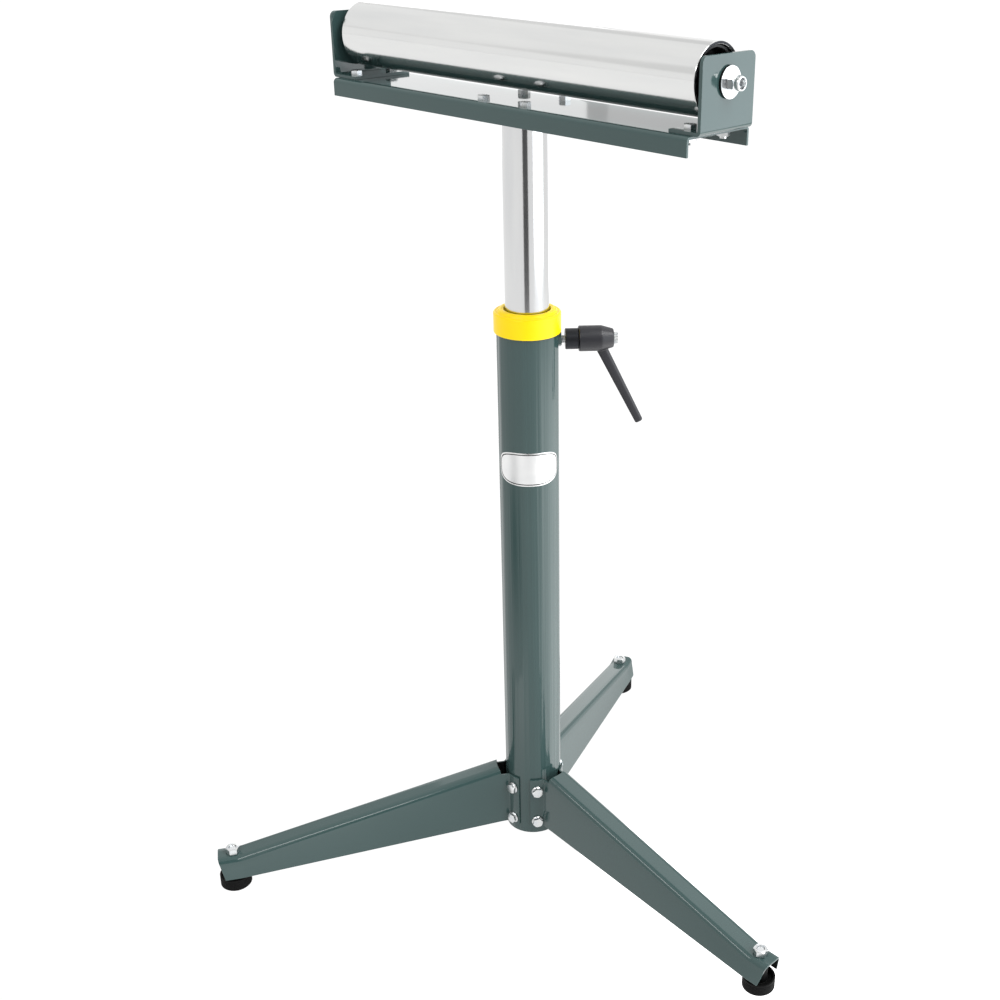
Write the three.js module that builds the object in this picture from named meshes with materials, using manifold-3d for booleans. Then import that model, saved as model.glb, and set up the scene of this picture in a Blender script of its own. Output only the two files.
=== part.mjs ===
// Roller stand: a tripod foot, a telescopic post with a clamp lever, and a free-turning roller on top.
// Units are millimetres, +Z is up and the floor is z = 0. The column's axis is X = Y = 0 while the
// pieces are made; the finished stand is then centred on its own footprint.

import * as THREE from 'three';
import { mergeVertices } from 'three/addons/utils/BufferGeometryUtils.js';
import Module from 'manifold-3d';

const wasm = await Module();
wasm.setup();

// Fits and facets
const FIT = 0.3; // gap between round, sliding or turned neighbours
const SEAT = 0.05; // gap under a flat seat
const ROUND = 48; // facets round a tube
const INNER_ROUND = 32; // facets round a foot, a bearing or a cap
const SMALL_ROUND = 12; // facets round a bolt or a bore
const BEND_STEPS = 3; // facets round a sheet-metal bend

// Column, its yellow collar and the height at which the head is set
const COLUMN_OD = 60.3;
const COLUMN_WALL = 2.5;
const COLUMN_BOTTOM = 28.5;
const COLUMN_LENGTH = 590.5;
const COLLAR_WALL = 2;
const COLLAR_HEIGHT = 23;
const COLLAR_LIP = 6;
const COLLAR_SLOPE = 3.6; // fall of the top face from the bore to the rim
const COLLAR_ROUND = 2;
const COLLAR_SLEEVE = 16;

// Sliding post and its lower guide bush
const POST_OD = 42.4;
const POST_WALL = 2.6;
const POST_LENGTH = 521.5;
const POST_PLATE_LENGTH = 80;
const POST_PLATE_THICK = 8;
const BUSH_HEIGHT = 30;
const BUSH_LIP = 4;
const BUSH_LIP_BORE = 30;

// Head channel, an inverted U of sheet steel
const CHANNEL_TOP = 817;
const CHANNEL_SETBACK = 7.6; // bracket's outer face to the channel's end
const CHANNEL_WIDTH = 82;
const CHANNEL_DEPTH = 16.3;
const CHANNEL_WALL = 2.5;
const CHANNEL_BEND = 4;

// End brackets
const BRACKET_WIDTH = 68.4;
const BRACKET_HEIGHT = 60.7;
const BRACKET_FLANGE = 32;
const BRACKET_WALL = 3;
const BRACKET_BEND = 4;
const BRACKET_CORNER = 6;

// Roller, its end caps, bearings and axle
const ROLLER_OD = 60;
const ROLLER_WALL = 2.5;
const ROLLER_LENGTH = 431;
const ROLLER_END_GAP = 8.1; // roller's end to the bracket's inner face
const ROLLER_CLEARANCE = 9; // roller to channel top
const CAP_RECESS = 2.6;
const CAP_DEPTH = 13;
const CAP_WALL = 2.5;
const CAP_HUB_WALL = 3;
const CAP_LIP = 1.5;
const BEARING_OD = 32;
const BEARING_WIDTH = 10;
const BEARING_RACE = 2.6;
const BEARING_SHIELD = 1;
const AXLE_OD = 12;
const AXLE_THREAD = 8;
const WASHER_OD = 26;
const WASHER_THICK = 2.5;
const LOCKNUT_ACROSS = 13;
const LOCKNUT_HEX = 6.5;
const LOCKNUT_COLLAR = 4.5;
const LOCKNUT_COLLAR_OD = 12;
const AXLE_END_RECESS = 4;

// Fasteners: M6 for sheet metal, M8 for the feet and the clamp
const M6 = 6;
const M6_ACROSS = 10;
const M6_HEAD = 4;
const M6_NUT = 5;
const M8 = 8;
const M8_ACROSS = 13;
const M8_NUT = 6.5;
const CENTRE_BOLT_PITCH = 51;
const CENTRE_BOLT_STANDOUT = 1;
const BRACKET_BOLT_PITCH = 44;
const BRACKET_BOLT_INSET = 19.6; // from the bracket's outer face
const BRACKET_BOLT_STANDOUT = 2;

// Legs, folded from sheet steel, and their feet
const LEG_ANGLES = [-3, 114, 236]; // degrees from the roller's axis
const LEG_REACH = 328.5; // column axis to foot stud
const LEG_WIDTH = 26;
const LEG_FOOT_SPREAD = 34; // over the lower edges at the foot
const LEG_WALL = 2;
const LEG_BEND = 6.5;
const LEG_SADDLE_TOP = 105.8; // top face at the saddle
const LEG_PAD_TOP = 41;
const LEG_PAD_BACK = 6.5; // flat pad, from the stud towards the column
const LEG_PAD_FRONT = 16;
const LEG_PAD_DEPTH = 23.5;
const LEG_END_SLANT = 6; // how far the outer end leans in towards its lower edge
const SADDLE_GAP = 10.5;
const TAB_HEIGHT = 62;
const TAB_RISE = 9.5; // column's lower end to the tab's lower edge
const TAB_WALL = 2;
const TAB_START = 20; // degrees from the leg's centre plane
const TAB_END = 49;
const LEG_BOLT_ANGLE = 35;
const LEG_BOLT_MARGIN = 7.6;
const LEG_BOLT_PITCH = 39.7;
const LEG_BOLT_SHANK = 9;
const FOOT_OD = 33;
const FOOT_CUP = 14.5;
const FOOT_RIM = 2.5;
const FOOT_RECESS = 4;
const FOOT_CHAMFER = 2;
const FOOT_STEM_OD = 17;
const FOOT_FLOOR = 6; // rubber under the stud
const STUD_RECESS = 0.5; // nut's top face to the stud's end

// Clamp lever; distances run outwards from the column's surface
const CLAMP_ANGLE = 48; // degrees from the roller's axis
const CLAMP_DROP = 9; // collar's lower edge to the screw's axis
const BOSS_STANDOUT = 2.4;
const INSERT_GAP = 3.7;
const INSERT_OD = 20.4;
const INSERT_LENGTH = 12.7;
const STUD_GRIP = 9.7; // stud inside the insert
const TEETH = 12;
const TOOTH_OUTER = 6.6;
const TOOTH_INNER = 5.6;
const TOOTH_LENGTH = 4;
const HUB_OD = 25;
const HUB_STRAIGHT = 22;
const HUB_TAPER = 12;
const HUB_END_OD = 18;
const HUB_FLOOR = 3;
const POCKET_OD = 13;
const LEVER_SCREW_OD = 5;
const LEVER_SCREW_GRIP = 2.5; // thread engaged in the insert
const LEVER_SCREW_HEAD_OD = 11.6;
const LEVER_SCREW_HEAD = 7;
const LEVER_SCREW_STANDOUT = 4;
const SPRING_OD = 10;
const SPRING_WIRE = 1.2;
const SPRING_TURNS = 5;
const SPRING_STEPS = 8; // steps in each turn
const SPRING_SIDES = 5;
const ARM_ROOT_OD = 11.1;
const ARM_TIP_OD = 8.1;
const ARM_TIP_CHAMFER = 1;
const ARM_ROOT_SETBACK = 16.5; // from the hub's outer end to the arm's root
const ARM_DROP = 87; // screw axis to the middle of the arm's flat tip
const ARM_OUTREACH = 43.3; // how far the tip leans outwards from its root

// Heights and radii that follow from the sizes above
const columnRadius = COLUMN_OD / 2;
const columnBore = columnRadius - COLUMN_WALL;
const columnTop = COLUMN_BOTTOM + COLUMN_LENGTH;
const postRadius = POST_OD / 2;
const collarTop = columnTop + COLLAR_LIP;
const collarBottom = collarTop - COLLAR_HEIGHT;
const channelUnderside = CHANNEL_TOP - CHANNEL_WALL;
const plateTop = channelUnderside - SEAT;
const postTop = plateTop - POST_PLATE_THICK;
const postBottom = postTop - POST_LENGTH;
const rollerRadius = ROLLER_OD / 2;
const axleHeight = CHANNEL_TOP + ROLLER_CLEARANCE + rollerRadius;
const bracketBase = CHANNEL_TOP + SEAT;
const bracketFace = ROLLER_LENGTH / 2 + ROLLER_END_GAP + BRACKET_WALL;
const bracketBoltX = bracketFace - BRACKET_BOLT_INSET;
const tabInner = columnRadius + FIT;
const tabOuter = tabInner + TAB_WALL;
const tabBottom = COLUMN_BOTTOM + TAB_RISE;
const tabTop = tabBottom + TAB_HEIGHT;
const legBoltHeights = [0, 1].map((row) => tabBottom + LEG_BOLT_MARGIN + row * LEG_BOLT_PITCH);
const clampHeight = collarBottom - CLAMP_DROP;
const boltHole = M6 / 2 + FIT;
const studHole = M8 / 2 + FIT;

const paint = new THREE.MeshStandardMaterial({ color: 0x4e5c57, roughness: 0.35, metalness: 0.1 });
const chrome = new THREE.MeshStandardMaterial({ color: 0xe2e2e0, roughness: 0.12, metalness: 1 });
const zinc = new THREE.MeshStandardMaterial({ color: 0xc9cccd, roughness: 0.3, metalness: 1 });
const yellow = new THREE.MeshStandardMaterial({ color: 0xf4dc1e, roughness: 0.4, metalness: 0 });
const blackPlastic = new THREE.MeshStandardMaterial({ color: 0x2a2a2e, roughness: 0.55, metalness: 0 });
const rubber = new THREE.MeshStandardMaterial({ color: 0x1b1b1b, roughness: 0.85, metalness: 0 });
const darkSteel = new THREE.MeshStandardMaterial({ color: 0x3a3c3d, roughness: 0.5, metalness: 0.8 });

// Geometry helpers

function solidOf(geometry) {
  for (const name of Object.keys(geometry.attributes)) {
    if (name !== 'position') geometry.deleteAttribute(name);
  }
  const merged = mergeVertices(geometry, 1e-4);
  const corners = merged.index.array;
  const triangles = [];
  for (let i = 0; i < corners.length; i += 3) {
    const [a, b, c] = corners.slice(i, i + 3);
    if (a !== b && b !== c && c !== a) triangles.push(a, b, c);
  }
  return new wasm.Manifold(new wasm.Mesh({
    numProp: 3,
    vertProperties: merged.attributes.position.array,
    triVerts: new Uint32Array(triangles),
  }));
}

function geometryOf(solid) {
  const { vertProperties, triVerts } = solid.getMesh();
  const geometry = new THREE.BufferGeometry();
  geometry.setAttribute('position', new THREE.BufferAttribute(vertProperties, 3));
  geometry.setIndex(new THREE.BufferAttribute(triVerts, 1));
  geometry.computeVertexNormals();
  return geometry;
}

// A closed profile of [radius, height] points, anticlockwise, turned about Z.
function turned(profile, facets = ROUND) {
  const points = [...profile, profile[0]].map(([radius, height]) => new THREE.Vector2(radius, height));
  return solidOf(new THREE.LatheGeometry(points, facets).rotateX(Math.PI / 2));
}

function rod(radius, from, to, facets = SMALL_ROUND) {
  return turned([[0, from], [radius, from], [radius, to], [0, to]], facets);
}

function ring(inner, outer, from, to, facets = ROUND) {
  return turned([[inner, from], [outer, from], [outer, to], [inner, to]], facets);
}

function hexagon(across, from, to) {
  return rod(across / Math.sqrt(3), from, to, 6);
}

function hexNut(across, thread, height) {
  return hexagon(across, 0, height).subtract(rod(thread / 2 + FIT, -height, 2 * height));
}

// The head stands on z = 0 and the shank goes down.
function hexBolt(across, thread, head, length) {
  return hexagon(across, 0, head).add(rod(thread / 2, -length, head / 2));
}

function extruded(outline, depth, place = new THREE.Matrix4()) {
  const settings = { depth, bevelEnabled: false, curveSegments: BEND_STEPS };
  const geometry = new THREE.ExtrudeGeometry(outline, settings);
  return solidOf(geometry.applyMatrix4(place));
}

function moved(solid, matrix) {
  return solid.transform(matrix.elements);
}

function shifted(solid, x, y, z) {
  return moved(solid, new THREE.Matrix4().makeTranslation(x, y, z));
}

// Lays a piece that was made along Z out along a radius of the column.
function radially(solid, degrees, height) {
  const turn = new THREE.Matrix4().makeRotationZ(THREE.MathUtils.degToRad(degrees));
  const lay = new THREE.Matrix4().makeRotationY(Math.PI / 2);
  return moved(solid, turn.multiply(lay).setPosition(0, 0, height));
}

// The edge of an inverted U, from its right lower corner over the top to its left one, as [y, z].
function channelEdge(half, spread, top, bottom, bend) {
  const side = [[spread, bottom]];
  for (let step = 0; step <= BEND_STEPS; step += 1) {
    const turn = (step / BEND_STEPS) * (Math.PI / 2);
    side.push([half - bend + bend * Math.cos(turn), top - bend + bend * Math.sin(turn)]);
  }
  return [...side, ...side.map(([y, z]) => [-y, z]).reverse()];
}

// A sheet-metal channel along X through stations of { x, half, spread, top, bottom }.
function channel(stations, wall, bend) {
  const positions = [];
  let edgeCount = 0;
  for (const { x, half, spread, top, bottom } of stations) {
    const outer = channelEdge(half, spread, top, bottom, bend);
    const inner = channelEdge(half - wall, spread - wall, top - wall, bottom, bend - wall);
    edgeCount = outer.length;
    for (const [y, z] of [...outer, ...inner.reverse()]) positions.push(x, y, z);
  }
  const loop = 2 * edgeCount;
  const triangles = [];
  for (let station = 0; station + 1 < stations.length; station += 1) {
    for (let i = 0; i < loop; i += 1) {
      const a = station * loop + i;
      const b = station * loop + ((i + 1) % loop);
      triangles.push(a, b, b + loop, a, b + loop, a + loop);
    }
  }
  const last = (stations.length - 1) * loop;
  for (let i = 0; i + 1 < edgeCount; i += 1) {
    const [outer, outerNext, innerNext, inner] = [i, i + 1, loop - 2 - i, loop - 1 - i];
    triangles.push(outer, innerNext, outerNext, outer, inner, innerNext);
    triangles.push(last + outer, last + outerNext, last + innerNext);
    triangles.push(last + outer, last + innerNext, last + inner);
  }
  const geometry = new THREE.BufferGeometry();
  geometry.setAttribute('position', new THREE.Float32BufferAttribute(positions, 3));
  geometry.setIndex(triangles);
  return solidOf(geometry);
}

function addPiece(group, name, solid, material) {
  const mesh = new THREE.Mesh(geometryOf(solid), material);
  mesh.name = name;
  group.add(mesh);
  return mesh;
}

// Column and collar

function columnTube() {
  const boss = hexagon(M8_ACROSS, columnBore + COLUMN_WALL / 2, columnRadius + BOSS_STANDOUT);
  let tube = ring(columnBore, columnRadius, COLUMN_BOTTOM, columnTop);
  tube = tube.add(radially(boss, CLAMP_ANGLE, clampHeight));
  tube = tube.subtract(radially(rod(studHole, 0, COLUMN_OD), CLAMP_ANGLE, clampHeight));
  for (const { degrees, height } of legBoltSpots()) {
    tube = tube.subtract(radially(rod(boltHole, 0, COLUMN_OD), degrees, height));
  }
  return tube;
}

function legBoltSpots() {
  const spots = [];
  for (const legAngle of LEG_ANGLES) {
    for (const side of [-1, 1]) {
      for (const height of legBoltHeights) {
        spots.push({ degrees: legAngle + side * LEG_BOLT_ANGLE, height });
      }
    }
  }
  return spots;
}

function collarRing() {
  const bore = postRadius + FIT;
  const skirtInner = columnRadius + FIT;
  const skirtOuter = skirtInner + COLLAR_WALL;
  const seat = columnTop + FIT;
  const sleeveBottom = columnTop - COLLAR_SLEEVE;
  const sleeveOuter = columnBore - FIT;
  const rounded = [];
  for (let step = 0; step <= BEND_STEPS; step += 1) {
    const turn = (step / BEND_STEPS) * (Math.PI / 2);
    rounded.push([
      skirtOuter - COLLAR_ROUND + COLLAR_ROUND * Math.cos(turn),
      collarTop - COLLAR_SLOPE - COLLAR_ROUND + COLLAR_ROUND * Math.sin(turn),
    ]);
  }
  return turned([
    [bore, sleeveBottom],
    [sleeveOuter, sleeveBottom],
    [sleeveOuter, seat],
    [skirtInner, seat],
    [skirtInner, collarBottom],
    [skirtOuter, collarBottom],
    ...rounded,
    [bore, collarTop],
  ]);
}

// Legs and feet, made along +X

function legShell() {
  const saddle = columnRadius + SADDLE_GAP;
  const bendX = LEG_REACH - LEG_PAD_BACK;
  const endX = LEG_REACH + LEG_PAD_FRONT;
  const startX = tabInner * Math.cos(THREE.MathUtils.degToRad(TAB_END));
  const padBottom = LEG_PAD_TOP - LEG_PAD_DEPTH;
  const topSlope = (LEG_SADDLE_TOP - LEG_PAD_TOP) / (bendX - saddle);
  const bottomSlope = (tabBottom - padBottom) / (bendX - tabInner);
  const half = LEG_WIDTH / 2;
  const spread = LEG_FOOT_SPREAD / 2;
  const stations = [
    {
      x: startX,
      half,
      spread: half,
      top: LEG_PAD_TOP + topSlope * (bendX - startX),
      bottom: padBottom + bottomSlope * (bendX - startX),
    },
    { x: bendX, half, spread, top: LEG_PAD_TOP, bottom: padBottom },
    { x: endX + LEG_END_SLANT, half, spread, top: LEG_PAD_TOP, bottom: padBottom },
  ];
  let shell = channel(stations, LEG_WALL, LEG_BEND).subtract(legEndCut(endX));
  shell = shell.subtract(rod(saddle, tabTop, 2 * LEG_SADDLE_TOP, ROUND));
  for (const side of [-1, 1]) shell = shell.add(legTab(side));
  shell = shell.subtract(rod(tabInner, 0, 2 * LEG_SADDLE_TOP, ROUND));
  for (const side of [-1, 1]) {
    for (const height of legBoltHeights) {
      shell = shell.subtract(radially(rod(boltHole, 0, COLUMN_OD), side * LEG_BOLT_ANGLE, height));
    }
  }
  return shell.subtract(shifted(rod(studHole, 0, LEG_SADDLE_TOP), LEG_REACH, 0, 0));
}

// What is cut off the leg's outer end, along a plane that leans in towards the lower edge.
function legEndCut(endX) {
  const lean = LEG_END_SLANT / LEG_PAD_DEPTH;
  const above = LEG_PAD_TOP + LEG_WALL;
  const below = LEG_PAD_TOP - LEG_PAD_DEPTH - LEG_WALL;
  const outline = new THREE.Shape();
  outline.moveTo(endX + lean * LEG_WALL, above);
  outline.lineTo(endX - lean * (LEG_PAD_DEPTH + LEG_WALL), below);
  outline.lineTo(endX + 2 * LEG_END_SLANT, below);
  outline.lineTo(endX + 2 * LEG_END_SLANT, above);
  const upright = new THREE.Matrix4().makeRotationX(Math.PI / 2).setPosition(0, LEG_FOOT_SPREAD, 0);
  return extruded(outline, 2 * LEG_FOOT_SPREAD, upright);
}

// A tab that wraps the column beside the leg, on the left (side 1) or the right (side -1).
function legTab(side) {
  const [near, far] = [TAB_START, TAB_END].map((degrees) => THREE.MathUtils.degToRad(side * degrees));
  const outline = new THREE.Shape();
  outline.absarc(0, 0, tabOuter, near, far, side < 0);
  outline.absarc(0, 0, tabInner - FIT / 2, far, near, side > 0);
  return extruded(outline, TAB_HEIGHT, new THREE.Matrix4().makeTranslation(0, 0, tabBottom));
}

function rubberFoot() {
  const radius = FOOT_OD / 2;
  const stem = FOOT_STEM_OD / 2;
  const stemTop = LEG_PAD_TOP - LEG_WALL - FIT;
  const cupFloor = FOOT_CUP - FOOT_RECESS;
  return turned([
    [0, 0],
    [radius - FOOT_CHAMFER, 0],
    [radius, FOOT_CHAMFER],
    [radius, FOOT_CUP],
    [radius - FOOT_RIM, FOOT_CUP],
    [radius - FOOT_RIM, cupFloor],
    [stem, cupFloor],
    [stem, stemTop - FOOT_CHAMFER],
    [stem - FOOT_CHAMFER, stemTop],
    [studHole, stemTop],
    [studHole, FOOT_FLOOR],
    [0, FOOT_FLOOR],
  ], INNER_ROUND);
}

function addLegs(stand) {
  const nutSeat = LEG_PAD_TOP + FIT;
  const studTop = nutSeat + M8_NUT - STUD_RECESS;
  const bolt = hexBolt(M6_ACROSS, M6, M6_HEAD, LEG_BOLT_SHANK);
  LEG_ANGLES.forEach((legAngle, leg) => {
    const group = new THREE.Group();
    group.rotation.z = THREE.MathUtils.degToRad(legAngle);
    stand.add(group);
    addPiece(group, `leg_${leg + 1}`, legShell(), paint);
    const foot = addPiece(group, `foot_pad_${leg + 1}`, rubberFoot(), rubber);
    const stud = addPiece(group, `foot_stud_${leg + 1}`, rod(M8 / 2, FOOT_FLOOR + FIT, studTop), zinc);
    const nut = addPiece(group, `foot_nut_${leg + 1}`, hexNut(M8_ACROSS, M8, M8_NUT), zinc);
    foot.position.set(LEG_REACH, 0, 0);
    stud.position.set(LEG_REACH, 0, 0);
    nut.position.set(LEG_REACH, 0, nutSeat);
  });
  legBoltSpots().forEach(({ degrees, height }, index) => {
    const spot = new THREE.Group();
    spot.rotation.z = THREE.MathUtils.degToRad(degrees);
    stand.add(spot);
    const mesh = addPiece(spot, `leg_bolt_${index + 1}`, bolt, zinc);
    mesh.position.set(tabOuter + FIT, 0, height);
    mesh.rotation.y = Math.PI / 2;
  });
}

// Clamp lever; each piece is made along +Z, with its distance from the column's axis as height and
// the arm on +X, and is then laid outwards so that the arm hangs down

const insertStart = columnRadius + BOSS_STANDOUT + INSERT_GAP;
const insertEnd = insertStart + INSERT_LENGTH;
const hubStart = insertEnd + FIT;
const hubEnd = hubStart + HUB_STRAIGHT + HUB_TAPER;
const floorStart = insertEnd + TOOTH_LENGTH + FIT;
const pocketStart = floorStart + HUB_FLOOR;
const screwHeadEnd = hubEnd + LEVER_SCREW_STANDOUT;
const screwHeadStart = screwHeadEnd - LEVER_SCREW_HEAD;

function toothed(grow, from, length) {
  const points = [];
  for (let corner = 0; corner < 2 * TEETH; corner += 1) {
    const radius = (corner % 2 ? TOOTH_INNER : TOOTH_OUTER) + grow;
    const turn = (corner / TEETH) * Math.PI;
    points.push(new THREE.Vector2(radius * Math.cos(turn), radius * Math.sin(turn)));
  }
  return extruded(new THREE.Shape(points), length, new THREE.Matrix4().makeTranslation(0, 0, from));
}

function clampStud() {
  return rod(M8 / 2, postRadius + FIT, insertStart + STUD_GRIP);
}

function leverInsert() {
  const teethEnd = insertEnd + TOOTH_LENGTH;
  const teeth = toothed(0, insertEnd - FIT, TOOTH_LENGTH + FIT);
  const body = rod(INSERT_OD / 2, insertStart, insertEnd, INNER_ROUND).add(teeth);
  const studBore = rod(studHole, 0, insertStart + STUD_GRIP + FIT);
  const screwBore = rod(LEVER_SCREW_OD / 2 + FIT, teethEnd - LEVER_SCREW_GRIP, screwHeadEnd);
  return body.subtract(studBore).subtract(screwBore);
}

function leverHandle() {
  const hub = turned([
    [0, hubStart],
    [HUB_OD / 2, hubStart],
    [HUB_OD / 2, hubStart + HUB_STRAIGHT],
    [HUB_END_OD / 2, hubEnd],
    [0, hubEnd],
  ], INNER_ROUND);
  const socket = toothed(FIT, hubStart - FIT, TOOTH_LENGTH + 2 * FIT);
  const screwHole = rod(LEVER_SCREW_OD / 2 + FIT, hubStart, hubEnd);
  const pocket = rod(POCKET_OD / 2, pocketStart, screwHeadEnd);
  return hub.add(leverArm()).subtract(socket).subtract(screwHole).subtract(pocket);
}

// A tapered bar with a flat, chamfered tip, from the hub's axis outwards.
function leverArm() {
  const length = Math.hypot(ARM_DROP, ARM_OUTREACH);
  const tip = ARM_TIP_OD / 2;
  const bar = turned([
    [0, 0],
    [ARM_ROOT_OD / 2, 0],
    [tip, length - ARM_TIP_CHAMFER],
    [tip - ARM_TIP_CHAMFER, length],
    [0, length],
  ], SMALL_ROUND);
  const lean = new THREE.Matrix4().makeRotationY(Math.atan2(ARM_DROP, ARM_OUTREACH));
  return moved(bar, lean.setPosition(0, 0, hubEnd - ARM_ROOT_SETBACK));
}

function leverScrew() {
  const shankStart = insertEnd + TOOTH_LENGTH - LEVER_SCREW_GRIP + FIT;
  const shank = rod(LEVER_SCREW_OD / 2, shankStart, screwHeadEnd - LEVER_SCREW_HEAD / 2);
  return shank.add(rod(LEVER_SCREW_HEAD_OD / 2, screwHeadStart, screwHeadEnd));
}

class Helix extends THREE.Curve {
  constructor(radius, from, to, turns) {
    super();
    Object.assign(this, { radius, from, to, turns });
  }

  getPoint(t, target = new THREE.Vector3()) {
    const turn = 2 * Math.PI * this.turns * t;
    const height = this.from + (this.to - this.from) * t;
    return target.set(this.radius * Math.cos(turn), this.radius * Math.sin(turn), height);
  }
}

function leverSpring() {
  const end = SPRING_WIRE / 2 + FIT;
  const radius = (SPRING_OD - SPRING_WIRE) / 2;
  const path = new Helix(radius, pocketStart + end, screwHeadStart - end, SPRING_TURNS);
  const wire = new THREE.Shape();
  wire.setFromPoints(Array.from({ length: SPRING_SIDES }, (_, side) => {
    const turn = (2 * Math.PI * side) / SPRING_SIDES;
    return new THREE.Vector2(Math.cos(turn), Math.sin(turn)).multiplyScalar(SPRING_WIRE / 2);
  }));
  const pitch = (path.to - path.from) / SPRING_TURNS;
  console.log(`lever spring, least gap between turns ${(pitch - SPRING_WIRE).toFixed(2)} mm`);
  const steps = SPRING_TURNS * SPRING_STEPS;
  return solidOf(new THREE.ExtrudeGeometry(wire, { steps, extrudePath: path, bevelEnabled: false }));
}

function addClamp(stand) {
  const group = new THREE.Group();
  group.rotation.z = THREE.MathUtils.degToRad(CLAMP_ANGLE);
  group.position.z = clampHeight;
  stand.add(group);
  const pieces = [
    addPiece(group, 'clamp_stud', clampStud(), zinc),
    addPiece(group, 'lever_insert', leverInsert(), darkSteel),
    addPiece(group, 'lever_handle', leverHandle(), blackPlastic),
    addPiece(group, 'lever_screw', leverScrew(), zinc),
    addPiece(group, 'lever_spring', leverSpring(), zinc),
  ];
  for (const piece of pieces) piece.rotation.y = Math.PI / 2;
}

// Post and its lower guide bush

function guideBush() {
  const outer = columnBore - FIT;
  const inner = postRadius + FIT;
  const seat = postBottom - FIT;
  return turned([
    [BUSH_LIP_BORE / 2, seat - BUSH_LIP],
    [outer, seat - BUSH_LIP],
    [outer, seat + BUSH_HEIGHT],
    [inner, seat + BUSH_HEIGHT],
    [inner, seat],
    [BUSH_LIP_BORE / 2, seat],
  ], INNER_ROUND);
}

function postTube() {
  const width = CHANNEL_WIDTH - 2 * CHANNEL_BEND - 2 * FIT;
  const plate = solidOf(new THREE.BoxGeometry(POST_PLATE_LENGTH, width, POST_PLATE_THICK));
  let post = ring(postRadius - POST_WALL, postRadius, postBottom, postTop + POST_PLATE_THICK / 2);
  post = post.add(shifted(plate, 0, 0, postTop + POST_PLATE_THICK / 2));
  for (const [x, y] of centreBoltSpots()) {
    post = post.subtract(shifted(rod(boltHole, postTop - POST_PLATE_THICK, CHANNEL_TOP), x, y, 0));
  }
  return post;
}

// Head channel and end brackets

function centreBoltSpots() {
  const half = CENTRE_BOLT_PITCH / 2;
  return [[-half, -half], [half, -half], [half, half], [-half, half]];
}

function headChannel() {
  const half = CHANNEL_WIDTH / 2;
  const section = { half, spread: half, top: CHANNEL_TOP, bottom: CHANNEL_TOP - CHANNEL_DEPTH };
  const ends = [-1, 1].map((side) => ({ x: side * (bracketFace - CHANNEL_SETBACK), ...section }));
  let web = channel(ends, CHANNEL_WALL, CHANNEL_BEND);
  const bracketSpots = [-1, 1].flatMap((side) => (
    [-1, 1].map((row) => [side * bracketBoltX, (row * BRACKET_BOLT_PITCH) / 2])
  ));
  for (const [x, y] of [...centreBoltSpots(), ...bracketSpots]) {
    web = web.subtract(shifted(rod(boltHole, postTop, CHANNEL_TOP + CHANNEL_WALL), x, y, 0));
  }
  return web;
}

// The right-hand bracket: an L bent from one plate, with the axle hole in its upright.
function endBracket() {
  const innerBend = BRACKET_BEND - BRACKET_WALL;
  const bendX = bracketFace - BRACKET_BEND;
  const bendZ = bracketBase + BRACKET_BEND;
  const top = bracketBase + BRACKET_HEIGHT;
  const profile = new THREE.Shape();
  profile.moveTo(bracketFace - BRACKET_FLANGE, bracketBase);
  profile.lineTo(bendX, bracketBase);
  profile.absarc(bendX, bendZ, BRACKET_BEND, -Math.PI / 2, 0, false);
  profile.lineTo(bracketFace, top);
  profile.lineTo(bracketFace - BRACKET_WALL, top);
  profile.absarc(bendX, bendZ, innerBend, 0, -Math.PI / 2, true);
  profile.lineTo(bracketFace - BRACKET_FLANGE, bracketBase + BRACKET_WALL);
  const layProfile = new THREE.Matrix4().makeBasis(
    new THREE.Vector3(1, 0, 0),
    new THREE.Vector3(0, 0, 1),
    new THREE.Vector3(0, -1, 0),
  ).setPosition(0, BRACKET_WIDTH / 2, 0);
  const bent = extruded(profile, BRACKET_WIDTH, layProfile);

  const half = BRACKET_WIDTH / 2;
  const corner = top - BRACKET_CORNER;
  const outline = new THREE.Shape();
  outline.moveTo(-half, bracketBase);
  outline.lineTo(half, bracketBase);
  outline.absarc(half - BRACKET_CORNER, corner, BRACKET_CORNER, 0, Math.PI / 2, false);
  outline.absarc(-half + BRACKET_CORNER, corner, BRACKET_CORNER, Math.PI / 2, Math.PI, false);
  const layOutline = new THREE.Matrix4().makeBasis(
    new THREE.Vector3(0, 1, 0),
    new THREE.Vector3(0, 0, 1),
    new THREE.Vector3(1, 0, 0),
  );
  let bracket = bent.intersect(extruded(outline, 2 * bracketFace, layOutline));
  bracket = bracket.subtract(radially(rod(AXLE_THREAD / 2 + FIT, 0, 2 * bracketFace), 0, axleHeight));
  for (const row of [-1, 1]) {
    const hole = rod(boltHole, CHANNEL_TOP - CHANNEL_WALL, axleHeight);
    bracket = bracket.subtract(shifted(hole, bracketBoltX, (row * BRACKET_BOLT_PITCH) / 2, 0));
  }
  return bracket;
}

// Roller and axle; turned pieces are made along Z about the axle's middle and laid along X

const capStart = ROLLER_LENGTH / 2 - CAP_RECESS - CAP_DEPTH;
const bearingStart = capStart + CAP_LIP + FIT;
const bearingEnd = bearingStart + BEARING_WIDTH;

function endCap() {
  const rim = rollerRadius - ROLLER_WALL - FIT;
  const seat = BEARING_OD / 2 + FIT;
  const web = capStart + CAP_WALL;
  return turned([
    [seat - CAP_LIP, capStart],
    [rim, capStart],
    [rim, capStart + CAP_DEPTH],
    [rim - CAP_WALL, capStart + CAP_DEPTH],
    [rim - CAP_WALL, web],
    [seat + CAP_HUB_WALL, web],
    [seat + CAP_HUB_WALL, bearingEnd],
    [seat, bearingEnd],
    [seat, capStart + CAP_LIP],
    [seat - CAP_LIP, capStart + CAP_LIP],
  ], INNER_ROUND);
}

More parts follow.
